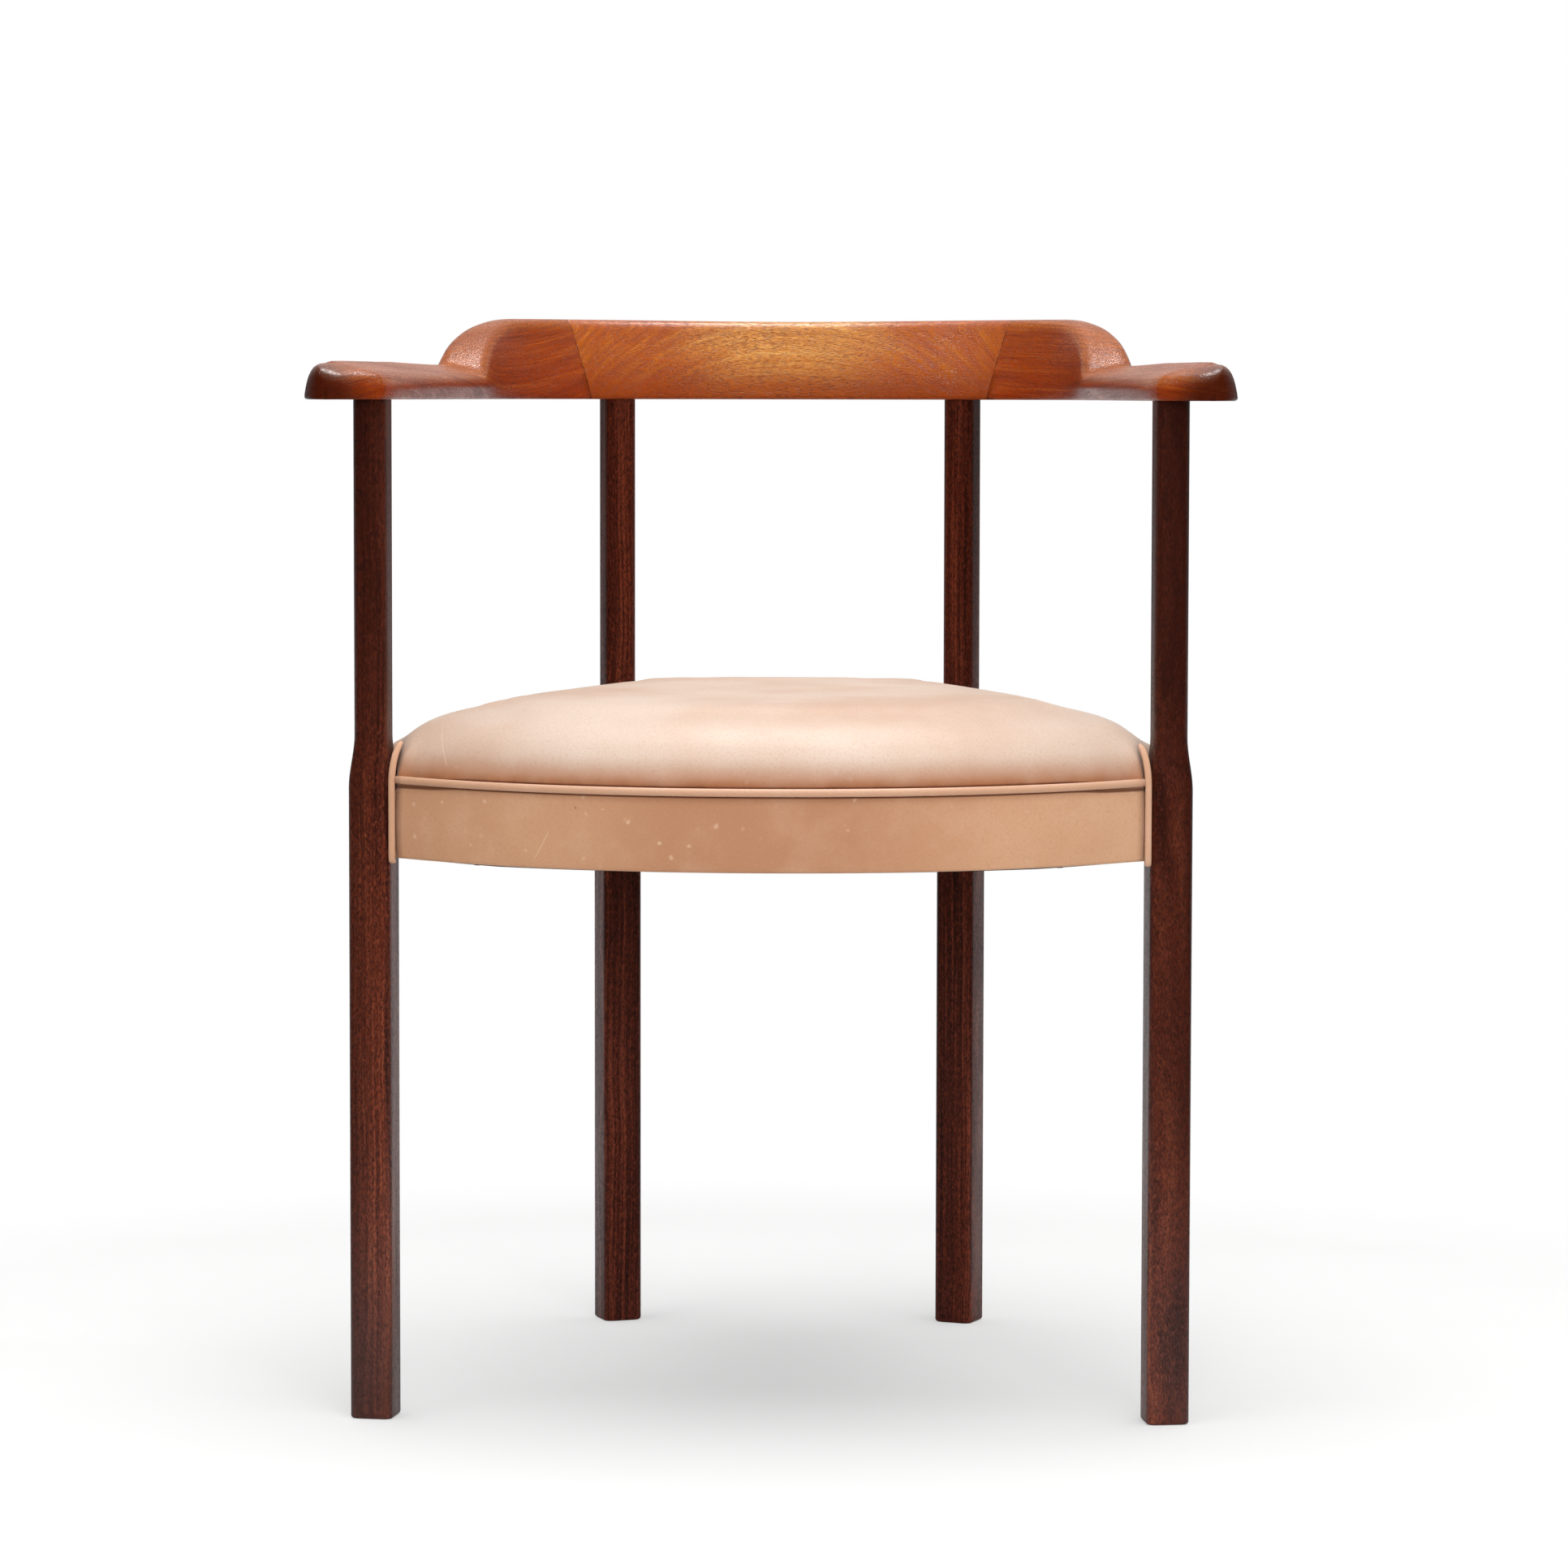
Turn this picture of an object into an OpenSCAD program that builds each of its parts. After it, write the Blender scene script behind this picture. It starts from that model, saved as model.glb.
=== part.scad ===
// Armchair with a horseshoe arm and back rail on four square legs and an upholstered drum seat.
// Sizes are millimetres, +Z is up and the sitter faces -Y. Left is the -X side.
// The plan is drawn with the front leg centres on Y = 0 and then moved to the middle of the depth.

/* [Stance] */
// Distance between the front leg centres
front_spacing = 497; // [470:1:520]
// Distance between the rear leg centres
rear_spacing = 238; // [220:1:260]
// Distance from the front leg centres back to the rear leg centres
leg_depth = 377; // [355:1:400]
// Height of the flat underside of the rail above the floor
rail_z = 640; // [600:1:680]

/* [Legs] */
// Width of a leg from the floor up to the seat
leg_w = 27; // [26:0.5:30]
// Width of a leg above its shoulder
leg_top_w = 21.5; // [19:0.5:24]
// Radius of the long edges of a leg up to its shoulder
leg_edge_r = 4; // [2:0.5:5]
// Radius of the long edges of a leg above its shoulder
leg_top_edge_r = 5.5; // [3:0.5:8]
// Rounding where a foot meets the floor
foot_r = 2; // [0.5:0.5:3]
// Height where a leg starts to narrow
shoulder_z = 398; // [390:1:410]
// Height over which a leg narrows
shoulder_h = 33; // [20:1:50]
// Diameter of the round tenon on top of a leg
top_tenon_d = 14; // [12:0.5:15]
// Length of the round tenon on top of a leg
top_tenon_l = 15; // [10:1:17]

/* [Rail plan] */
// Radius of the back curve over the rear legs
back_r = 320; // [290:5:360]
// Angle by which the arms open towards the front
arm_splay = 8.5; // [5:0.5:10]
// Reach of an arm tip past its front leg centre
arm_reach = 42; // [34:1:55]
// Distance along the rail from a rear leg to the joint of arm and crest
joint_past_leg = 32; // [30:1:45]
// Slope of the joint between arm and crest, in degrees from upright
joint_slope = 12; // [0:1:18]

/* [Crest] */
// Height of the crest in the middle
crest_h = 54; // [45:1:62]
// Extra height of the crest where it starts to fall
crest_swell = 1; // [0:0.5:4]
// Thickness of the crest at its foot
crest_foot_t = 25; // [24:0.5:30]
// Thickness of the crest at its top
crest_top_t = 18; // [15:0.5:22]
// Distance that the outer top edge of the crest leans back
crest_lean = 3; // [0:0.5:8]
// Distance along the rail from a rear leg to the start of the fall
crest_past_leg = 80; // [60:1:100]
// Length of the fall from the crest to the arm
fall_l = 90; // [70:1:130]

/* [Arms] */
// Thickness of an arm where the crest has fallen to it
waist_h = 24.5; // [21:0.5:28]
// Thickness of an arm over its front leg
arm_h = 27.5; // [24:0.5:32]
// Reach of the middle of an arm outside the line of the legs
arm_out = 25; // [20:0.5:30]
// Reach of an arm outside its front leg centre
arm_front_out = 31; // [26:0.5:36]
// Reach of the rounded arm head outside the line of the legs
head_out = 38.5; // [30:0.5:42]
// Reach of an arm inside the line of the legs
arm_in = 15; // [13:0.5:19]
// Distance that the top of an arm drops towards the sitter
arm_drop = 10; // [4:0.5:12]
// Diameter of the dowels in the joints of arm and crest
dowel_d = 9; // [7:0.5:10]
// Length of the dowels in the joints of arm and crest
dowel_l = 42; // [30:1:46]

/* [Seat frame] */
// Height of the underside of the seat
seat_z = 353; // [340:1:360]
// Reach of the seat front past the front leg centres
seat_front = 98; // [70:1:110]
// Reach of the leather past the line of the leg centres at the sides and the back
seat_side = 8; // [6:0.5:10]
// Reach of the seat past the front face of a front leg, beside that leg
seat_corner = 3.5; // [3:0.5:6]
// Thickness of the seat rails
seat_rail_t = 18; // [16:0.5:18]
// Height of the seat rails
seat_rail_h = 42; // [36:1:48]
// Thickness of the seat rail tenons
tenon_t = 7; // [6:0.5:7.5]
// Height of the seat rail tenons
tenon_h = 26; // [20:1:30]
// Depth of the seat rail tenons in a leg
tenon_in = 10.5; // [8:0.5:11]
// Reach of the corner blocks along the front and side rails
block_reach = 62; // [50:1:75]
// Height of the corner blocks
block_h = 30; // [26:1:34]
// Diameter of the corner block screws
screw_d = 4; // [3:0.5:5]

/* [Seat support] */
// Width of the webbing straps
strap_w = 50; // [40:1:55]
// Thickness of the webbing straps
strap_t = 1.5; // [1:0.1:2]
// Thickness of the hessian over the webbing
hessian_t = 0.8; // [0.5:0.1:1.2]
// Thickness of the dust cover under the seat
dust_cover_t = 0.6; // [0.4:0.1:1]

/* [Leather] */
// Thickness of the leather
leather_t = 1.6; // [1.2:0.1:2]
// Width of the hem of the leather bands under the rails
hem_w = 14; // [10:1:16]
// Diameter of the piping between the bands and the seat top
piping_d = 5; // [4:0.5:6]
// Width of the upright welts beside the legs
welt_w = 4.6; // [4:0.2:5]
// Rise of the seat crown above its edge
crown_h = 45; // [35:1:55]

/* [Fits] */
// Clearance of glued wooden joints on each side
wood_fit = 0.15; // [0.1:0.05:0.25]
// Space left at the bottom of a mortise or a bore
depth_fit = 0.5; // [0.3:0.1:0.8]
// Clearance between soft pieces and their neighbours
soft_fit = 0.3; // [0.2:0.05:0.4]

/* [Hidden] */

front_x = front_spacing / 2;
rear_x = rear_spacing / 2;
leg_half = leg_w / 2;

// Overlap of shapes that are joined or cut
overcut = 1;

// Rail plan: a back arc, a corner arc and a straight arm, all tangent, drawn for the right half
head_share = 0.42;
back_turn = asin(rear_x / back_r);
arm_turn = 90 - arm_splay;
corner_r = (front_x - rear_x - tan(arm_splay) * leg_depth)
    / (sin(arm_turn) - sin(back_turn) - tan(arm_splay) * (cos(back_turn) - cos(arm_turn)));
rear_leg_s = back_r * back_turn * PI / 180;
corner_end_s = rear_leg_s + corner_r * (arm_turn - back_turn) * PI / 180;
corner_end = corner_point(arm_turn);
front_leg_s = corner_end_s + corner_end.y / cos(arm_splay);
tip_s = front_leg_s + arm_reach;
joint_s = rear_leg_s + joint_past_leg;
fall_s = rear_leg_s + crest_past_leg;
waist_s = fall_s + fall_l;
mid_arm_s = (waist_s + front_leg_s) / 2;
head_s = front_leg_s + arm_reach * head_share;

// Rail sections by station: place along the rail, then outer foot, step out to the outer top,
// inner top, drop of the inner top, nose, nose height, inner foot, and the rounding cuts
// at the outer top, at the inner top and at the nose
crest_half = crest_foot_t / 2;
crest_in = crest_half + crest_lean - crest_top_t;
stations = [
    [0, [crest_half, crest_lean, crest_in, 0.5, -crest_half + 2, 15, -crest_half, 8, 7, 10]],
    [fall_s, [crest_half + 1, crest_lean, crest_in, 1, -crest_half + 1, 14, -crest_half, 8, 8, 9]],
    [waist_s, [arm_out - 2, -2, 3 - arm_in, arm_drop * 0.75, -arm_in, 9, 5 - arm_in, 9, 7, 3]],
    [mid_arm_s, [arm_out, -2, 2.5 - arm_in, arm_drop, -arm_in, 8, 5 - arm_in, 10, 7, 3]],
    [front_leg_s, [arm_front_out, -2, 4 - arm_in, arm_drop + 1, -arm_in, 8, 1.5 - arm_in, 14, 9, 3]],
    [head_s, [head_out, -2, 7 - arm_in, arm_drop + 1, 3 - arm_in, 8, 4 - arm_in, 17, 10, 3]]];
section_foot_cut = 3;
most_cut = 0.48;
tip_fullness = 0.6;
arc_steps = 5;

// Rings along the rail
crest_steps = 16;
shoulder_steps = 6;
fall_steps = 18;
arm_steps = 11;
head_steps = 3;
tip_steps = 8;
tip_last_turn = 87;

// Legs
leg_arc_steps = 5;
leg_ring_steps = 10;
foot_steps = 3;

// Joints: the dowels lie at these shares of the crest height, and each rail tenon has its place
dowel_heights = [0.34, 0.7];
dowel_out = 2.5;
tenon_root = 7;
front_tenon_y = -5;
rear_tenon_y = 2;

// Seat plan: a front arc, two sides along the lines of the legs and a straight back
arc_short_of_leg = 2.2;
seat_corner_x = front_x - leg_half - arc_short_of_leg;
seat_sag = seat_front - leg_half - seat_corner;
seat_r = (seat_corner_x * seat_corner_x + seat_sag * seat_sag) / (2 * seat_sag);
seat_arc_y = seat_r - seat_front;
side_l = norm([front_x - rear_x, leg_depth]);
side_dir = [rear_x - front_x, leg_depth] / side_l;
side_out = [side_dir.y, -side_dir.x];
side_turn = atan2(side_out.y, side_out.x);
rear_y = leg_depth + seat_side;
plan_mid_y = (leg_depth - seat_front) / 2;

// Seat layers, as heights and as insets from the outer face of the leather
rail_inset = leather_t + soft_fit;
seat_rail_z = seat_z + leather_t;
seat_rail_top = seat_rail_z + seat_rail_h;
tenon_z = seat_rail_z + seat_rail_h / 2;
hessian_z = seat_rail_top + 2 * strap_t;
pad_z = hessian_z + hessian_t + soft_fit;
piping_over_rail = 3;
piping_z = seat_rail_top + piping_over_rail + piping_d / 2;
piping_inset = 0.5;
inside_piping = piping_inset + piping_d / 2 + soft_fit;
leather_edge_z = piping_z + piping_d / 2 + soft_fit;
leather_inset = 1;
band_h = piping_z - piping_d / 2 - soft_fit - seat_z;
band_edge_r = 2.5;
cloth_from_leg = 2;
dust_cover_on_hem = 6;

// Straps: how far they lie on the rails, clear of the rear legs and of all four corners
strap_on_rail = 9;
strap_slope_l = 8;
strap_from_rear_leg = 7;
lengthwise_pitch = (rear_spacing - leg_w - strap_w) / 2 - strap_from_rear_leg;
crosswise_count = 4;
crosswise_first = 48;
crosswise_pitch = (leg_depth - 2 * crosswise_first) / (crosswise_count - 1);

// Welts: a straight run beside the band and a run in over the crown
welt_sides = 8;
welt_bottom = seat_z - 0.4;
welt_top_curl = 8;
welt_top_reach = 20;
welt_top_steps = 5;
welt_off_leg = 1.5;
welt_out = seat_side + welt_w / 2 - leather_t + soft_fit;
welt_along = leg_half + welt_w / 2 + welt_off_leg;

// The two welts of each right leg, as place, direction away from the leg and direction outwards
front_welt_places = [
    [[seat_corner_x + soft_fit + welt_w / 2, -leg_half - seat_corner - welt_w / 5], [-1, 0], [0, -1]],
    [[front_x, 0] + side_dir * welt_along + side_out * welt_out, side_dir, side_out]];
rear_welt_places = [
    [[rear_x, leg_depth] - side_dir * welt_along + side_out * welt_out, -side_dir, side_out],
    [[rear_x - welt_along, leg_depth + welt_out], [-1, 0], [0, 1]]];

// Seat crown
crown_points = 60;
crown_rings = [1, 0.99, 0.97, 0.94, 0.89, 0.82, 0.7, 0.5];
lining_rings = [1, 0.97, 0.92, 0.84, 0.66];
crown_power = 11;
crown_root = 0.7;
plan_sharpness = 30;
barely_out = 0.001;

// Corner block screws
screw_l = 30;
screw_head_d = screw_d * 2;
screw_head_h = 3;
screw_into_rail = 13;
screw_along = 34;
screw_apart = 7;

// The middle of the depth, between the piping in front and the back of the crest
back_y = rail_point(0).y + crest_half + crest_lean;
front_y = -seat_front - piping_d / 2 + piping_inset;
middle_y = (back_y + front_y) / 2;

function smooth(t) = let (c = min(max(t, 0), 1)) c * c * (3 - 2 * c);

function corner_point(turn) =
    [rear_x + corner_r * (sin(turn) - sin(back_turn)),
     leg_depth - corner_r * (cos(back_turn) - cos(turn))];

// Turn of the rail from the middle of the back, in degrees
function rail_turn(s) =
    s < rear_leg_s ? s / back_r * 180 / PI
    : s < corner_end_s ? back_turn + (s - rear_leg_s) / corner_r * 180 / PI
    : arm_turn;

// Point of the rail line above the leg centres
function rail_point(s) =
    let (turn = rail_turn(s))
    s < rear_leg_s ? [back_r * sin(turn), leg_depth + back_r * (cos(turn) - cos(back_turn))]
    : s < corner_end_s ? corner_point(turn)
    : corner_end + (s - corner_end_s) * [cos(turn), -sin(turn)];

// Height of the rail along its line
function rail_h(s) =
    s < fall_s ? crest_h + crest_swell * smooth(s / fall_s)
    : s < waist_s ? waist_h + (crest_h + crest_swell - waist_h) * (1 - pow((s - fall_s) / fall_l, 2))
    : waist_h + (arm_h - waist_h) * smooth((s - waist_s) / (front_leg_s - waist_s));

// Slope of the rail section along the rail, full at the joint of arm and crest
function section_slope(s) =
    tan(joint_slope) * (1 - smooth(2 * abs(s - joint_s) / joint_s));

function station_before(s, i = 0) =
    i == len(stations) - 2 || s < stations[i + 1][0] ? i : station_before(s, i + 1);

function station_slope(i) =
    i == 0 || i == len(stations) - 1 ? 0 * stations[i][1]
    : (stations[i + 1][1] - stations[i - 1][1]) / (stations[i + 1][0] - stations[i - 1][0]);

// Section values at a place, by cubic curves through the stations
function section_values(s) =
    let (i = station_before(s),
         step = stations[i + 1][0] - stations[i][0],
         t = min(max((s - stations[i][0]) / step, 0), 1))
    (2 * pow(t, 3) - 3 * t * t + 1) * stations[i][1]
    + (pow(t, 3) - 2 * t * t + t) * step * station_slope(i)
    + (3 * t * t - 2 * pow(t, 3)) * stations[i + 1][1]
    + (pow(t, 3) - t * t) * step * station_slope(i + 1);

// Quadratic curve that rounds a corner between two neighbours
function round_corner(before, corner, after, cut) =
    let (a = corner + (before - corner) * min(cut / norm(before - corner), most_cut),
         b = corner + (after - corner) * min(cut / norm(after - corner), most_cut))
    [for (k = [0:arc_steps]) let (t = k / arc_steps)
        (1 - t) * (1 - t) * a + 2 * t * (1 - t) * corner + t * t * b];

// Rail section as [out, up] points
function section(s) =
    let (v = section_values(s),
         h = rail_h(s),
         corners = [[v[0], 0], [v[0] + v[1], h], [v[2], h - v[3]], [v[4], v[5]], [v[6], 0]],
         cuts = [section_foot_cut, v[7], v[8], v[9], section_foot_cut])
    [for (i = [0:4])
        each round_corner(corners[(i + 4) % 5], corners[i], corners[(i + 1) % 5], cuts[i])];

// Ring of the rail for a section that stands at a place on the right half
function rail_ring(s, outline) =
    let (turn = rail_turn(s), at = rail_point(s), slope = section_slope(s))
    [for (p = outline)
        [at.x + p[0] * sin(turn) + slope * (p[1] - crest_h / 2) * cos(turn),
         at.y + p[0] * cos(turn) - slope * (p[1] - crest_h / 2) * sin(turn),
         rail_z + p[1]]];

function mirror_ring(ring) = [for (p = ring) [-p.x, p.y, p.z]];

// Rings that close the arm head: the section shrinks towards the tip over a flat underside
function tip_ring(turn) =
    let (outline = section(head_s),
         middle = (section_values(head_s)[0] + section_values(head_s)[6]) / 2)
    rail_ring(head_s + (tip_s - head_s) * sin(turn),
        [for (p = outline) [middle + (p[0] - middle) * cos(turn), p[1] * pow(cos(turn), tip_fullness)]]);

// Square with round corners, centred
function square_outline(w, r) =
    [for (q = [0:3], k = [0:leg_arc_steps]) let (a = 90 * (q + k / leg_arc_steps))
        [(q == 0 || q == 3 ? 1 : -1) * (w / 2 - r) + r * cos(a),
         (q < 2 ? 1 : -1) * (w / 2 - r) + r * sin(a)]];

// Distance from the middle of the seat at an angle to its edge, inset, with soft corners
function plan_r(a, inset) =
    let (ray = [cos(a), sin(a)],
         to_arc = arc_distance(ray, seat_r - inset),
         out = max(abs(ray.x) * side_out.x + ray.y * side_out.y, barely_out),
         to_side = (seat_side - inset + front_x * side_out.x - plan_mid_y * side_out.y) / out,
         to_back = (rear_y - inset - plan_mid_y) / max(ray.y, barely_out))
    pow(pow(to_arc, -plan_sharpness) + pow(to_side, -plan_sharpness)
        + pow(to_back, -plan_sharpness), -1 / plan_sharpness);

function arc_distance(ray, r) =
    let (off = seat_arc_y - plan_mid_y, b = ray.y * off)
    b + sqrt(b * b + r * r - off * off);

function crown_z(rho) = leather_edge_z + crown_h * pow(1 - pow(rho, crown_power), crown_root);

// Ring of the crowned seat top, moved in and down from the outer face of the leather
function crown_ring(rho, inset, down) =
    [for (k = [0:crown_points - 1]) let (a = 360 * k / crown_points, r = plan_r(a, inset) * rho)
        [r * cos(a), plan_mid_y + r * sin(a), crown_z(rho) - down]];

// Reach of the seat side at a depth, past the line of the leg centres
function side_x(y, past) = front_x + (past - y * side_out.y) / side_out.x;

// Depth of the seat front at a width, inset from the leather
function arc_y(x, inset) = seat_arc_y - sqrt(pow(seat_r - inset, 2) - x * x);

// Solid through rings that have as many points each, closed by flat ends
module loft(rings) {
    n = len(rings[0]);
    last = (len(rings) - 1) * n;
    polyhedron(
        points = [for (ring = rings) each ring],
        faces = concat(
            [[for (k = [0:n - 1]) k]],
            [for (j = [0:len(rings) - 2], k = [0:n - 1])
                [j * n + (k + 1) % n, j * n + k, (j + 1) * n + (k + 1) % n]],
            [for (j = [0:len(rings) - 2], k = [0:n - 1])
                [(j + 1) * n + (k + 1) % n, j * n + k, (j + 1) * n + k]],
            [[for (k = [n - 1:-1:0]) last + k]]),
        convexity = 6);
}

// Puts the plan on the middle of the depth
module centred() {
    translate([0, -middle_y, 0])
        children();
}

// Mirrors a right-hand piece to the left
module on_left() {
    mirror([1, 0, 0])
        children();
}

// Outline of a leg from above, grown by a clearance
module leg_plan(at, turn, grow) {
    translate(at)
        rotate(turn)
            union() {
                square([leg_w + 2 * grow, leg_w + 2 * (grow - leg_edge_r)], center = true);
                square([leg_w + 2 * (grow - leg_edge_r), leg_w + 2 * grow], center = true);
                for (x = [-1, 1], y = [-1, 1])
                    translate([x, y] * (leg_half - leg_edge_r))
                        circle(r = leg_edge_r + grow, $fn = 32);
            }
}

module front_leg_plan(grow) {
    leg_plan([front_x, 0], arm_splay, grow);
}

module rear_leg_plan(grow) {
    leg_plan([rear_x, leg_depth], -back_turn, grow);
}

module legs_in_plan(grow) {
    for (side = [0, 1])
        mirror([side, 0]) {
            front_leg_plan(grow);
            rear_leg_plan(grow);
        }
}

// All four legs as straight cutters from the floor to the rail
module leg_space(grow) {
    linear_extrude(rail_z)
        legs_in_plan(grow);
}

// A leg that stands on its own centre with its round tenon on top
module leg_body() {
    foot = [for (k = [0:foot_steps]) let (a = 90 * k / foot_steps)
        [foot_r * (1 - cos(a)), leg_w - 2 * foot_r * (1 - sin(a))]];
    shoulder = [for (k = [0:leg_ring_steps]) let (t = k / leg_ring_steps)
        [shoulder_z + shoulder_h * t, leg_w + (leg_top_w - leg_w) * smooth(t)]];
    rings = concat(foot, shoulder, [[rail_z, leg_top_w]]);
    loft([for (ring = rings) let (
        above = smooth((ring[0] - shoulder_z) / shoulder_h),
        edge_r = leg_edge_r + (leg_top_edge_r - leg_edge_r) * above)
        [for (p = square_outline(ring[1], edge_r)) [p[0], p[1], ring[0]]]]);
    translate([0, 0, rail_z - overcut])
        cylinder(d = top_tenon_d, h = top_tenon_l + overcut, $fn = 48);
}

// Bore in the rail for the round tenon of a leg
module top_bore(at) {
    translate([at.x, at.y, rail_z - overcut])
        cylinder(d = top_tenon_d + 2 * wood_fit, h = top_tenon_l + overcut + depth_fit, $fn = 48);
}

// Rail tenon along +X from its start, at the middle of its height
module tenon_block(length, grow) {
    translate([0, -tenon_t / 2 - grow, -tenon_h / 2 - grow])
        cube([length, tenon_t + 2 * grow, tenon_h + 2 * grow]);
}

// Tenon of the front rail in the right front leg
module front_tenon(grow, deeper) {
    translate([front_x - leg_half - tenon_root, front_tenon_y, tenon_z])
        tenon_block(tenon_root + tenon_in + deeper, grow);
}

// Tenon of the rear rail in the right rear leg
module rear_tenon(grow, deeper) {
    translate([rear_x - leg_half - tenon_root, leg_depth + rear_tenon_y, tenon_z])
        tenon_block(tenon_root + tenon_in + deeper, grow);
}

// Tenons of the right side rail, one in each right leg
module side_tenons(grow, deeper) {
    past = leg_half - tenon_in - deeper;
    translate([front_x, 0, tenon_z])
        rotate(side_turn)
            translate([seat_side - rail_inset - seat_rail_t / 2, past, 0])
                rotate(90)
                    tenon_block(side_l - 2 * past, grow);
}

module front_leg() {
    color("#5a2417")
        centred()
            difference() {
                translate([front_x, 0, 0])
                    rotate(arm_splay)
                        leg_body();
                front_tenon(wood_fit, depth_fit);
                side_tenons(wood_fit, depth_fit);
            }
}

module rear_leg() {
    color("#5a2417")
        centred()
            difference() {
                translate([rear_x, leg_depth, 0])
                    rotate(-back_turn)
                        leg_body();
                rear_tenon(wood_fit, depth_fit);
                side_tenons(wood_fit, depth_fit);
            }
}

module front_right_leg() { front_leg(); }
module front_left_leg() { on_left() front_leg(); }
module rear_right_leg() { rear_leg(); }
module rear_left_leg() { on_left() rear_leg(); }

// Two dowels that lie along the rail through the joint of arm and crest
module dowels(grow, longer) {
    turn = rail_turn(joint_s);
    at = rail_point(joint_s);
    for (share = dowel_heights)
        translate([at.x, at.y, rail_z + crest_h * share])
            rotate([0, 0, -turn])
                translate([-dowel_l / 2 - longer, dowel_out, 0])
                    rotate([0, 90, 0])
                        cylinder(d = dowel_d + 2 * grow, h = dowel_l + 2 * longer, $fn = 32);
}

module right_arm() {
    shoulder = [for (k = [0:shoulder_steps - 1]) joint_s + (fall_s - joint_s) * k / shoulder_steps];
    fall = [for (k = [0:fall_steps - 1]) fall_s + fall_l * k / fall_steps];
    arm = [for (k = [0:arm_steps - 1]) waist_s + (front_leg_s - waist_s) * k / arm_steps];
    head = [for (k = [0:head_steps - 1]) front_leg_s + (head_s - front_leg_s) * k / head_steps];
    color("#9a4a22")
        centred()
            difference() {
                loft(concat(
                    [for (s = concat(shoulder, fall, arm, head)) rail_ring(s, section(s))],
                    [for (k = [0:tip_steps]) tip_ring(tip_last_turn * k / tip_steps)]));
                top_bore([front_x, 0]);
                dowels(wood_fit, depth_fit);
            }
}

module left_arm() { on_left() right_arm(); }

module crest_rail() {
    half = [for (k = [0:crest_steps]) joint_s * k / crest_steps];
    color("#b8682c")
        centred()
            difference() {
                loft(concat(
                    [for (k = [crest_steps:-1:1]) mirror_ring(rail_ring(half[k], section(half[k])))],
                    [for (s = half) rail_ring(s, section(s))]));
                for (side = [0, 1])
                    mirror([side, 0, 0]) {
                        top_bore([rear_x, leg_depth]);
                        dowels(wood_fit, depth_fit);
                    }
            }
}

module joint_dowels() {
    color("#c9a06a")
        centred()
            for (side = [0, 1])
                mirror([side, 0, 0])
                    dowels(0, 0);
}

// Plan of the front rail, grown by a clearance
module arc_band(grow) {
    intersection() {
        translate([0, seat_arc_y])
            difference() {
                circle(r = seat_r - rail_inset + grow, $fn = 180);
                circle(r = seat_r - rail_inset - seat_rail_t - grow, $fn = 180);
            }
        translate([-front_x + leg_half, -seat_front])
            square([2 * front_x - leg_w, seat_front + leg_half]);
    }
}

// Plan of the rear rail, grown by a clearance
module back_band(grow) {
    translate([-rear_x, rear_y - rail_inset - seat_rail_t - grow])
        square([rear_spacing, seat_rail_t + 2 * grow]);
}

module rail_extrude() {
    translate([0, 0, seat_rail_z])
        linear_extrude(seat_rail_h)
            children();
}

module front_seat_rail() {
    color("#c79a6b")
        centred()
            difference() {
                union() {
                    rail_extrude()
                        difference() {
                            arc_band(0);
                            legs_in_plan(wood_fit);
                        }
                    for (side = [0, 1])
                        mirror([side, 0, 0])
                            front_tenon(0, 0);
                }
                block_screws(wood_fit, 0);
            }
}

module rear_seat_rail() {
    color("#c79a6b")
        centred()
            difference() {
                union() {
                    rail_extrude()
                        difference() {
                            back_band(0);
                            legs_in_plan(wood_fit);
                        }
                    for (side = [0, 1])
                        mirror([side, 0, 0])
                            rear_tenon(0, 0);
                }
                block_screws(wood_fit, 0);
            }
}

module right_seat_rail() {
    color("#c79a6b")
        centred()
            difference() {
                union() {
                    rail_extrude()
                        difference() {
                            translate([front_x, 0])
                                rotate(side_turn)
                                    translate([seat_side - rail_inset - seat_rail_t, 0])
                                        square([seat_rail_t, side_l]);
                            legs_in_plan(wood_fit);
                            back_band(wood_fit);
                            arc_band(wood_fit);
                        }
                    side_tenons(0, 0);
                }
                block_screws(wood_fit, 0);
            }
}

module left_seat_rail() { on_left() right_seat_rail(); }

// Space inside the seat rails, inset from the leather
module inner_plan(inset) {
    intersection() {
        translate([0, seat_arc_y])
            circle(r = seat_r - inset, $fn = 180);
        polygon([
            [side_x(-seat_front, seat_side - inset), -seat_front],
            [side_x(rear_y - inset, seat_side - inset), rear_y - inset],
            [-side_x(rear_y - inset, seat_side - inset), rear_y - inset],
            [-side_x(-seat_front, seat_side - inset), -seat_front]]);
    }
}

// Corner block in the right front or right rear corner
module corner_block(at, along, across) {
    color("#b98a58")
        centred()
            difference() {
                translate([0, 0, tenon_z - block_h / 2])
                    linear_extrude(block_h)
                        difference() {
                            intersection() {
                                inner_plan(rail_inset + seat_rail_t + wood_fit);
                                polygon([at - (along + across) * block_reach / 4,
                                    at + along * block_reach, at + across * block_reach]);
                            }
                            legs_in_plan(wood_fit);
                        }
                block_screws(wood_fit, screw_l);
            }
}

module front_right_corner_block() { corner_block([front_x, 0], [-1, 0], side_dir); }
module front_left_corner_block() { on_left() front_right_corner_block(); }
module rear_right_corner_block() { corner_block([rear_x, leg_depth], [-1, 0], -side_dir); }
module rear_left_corner_block() { on_left() rear_right_corner_block(); }

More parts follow.
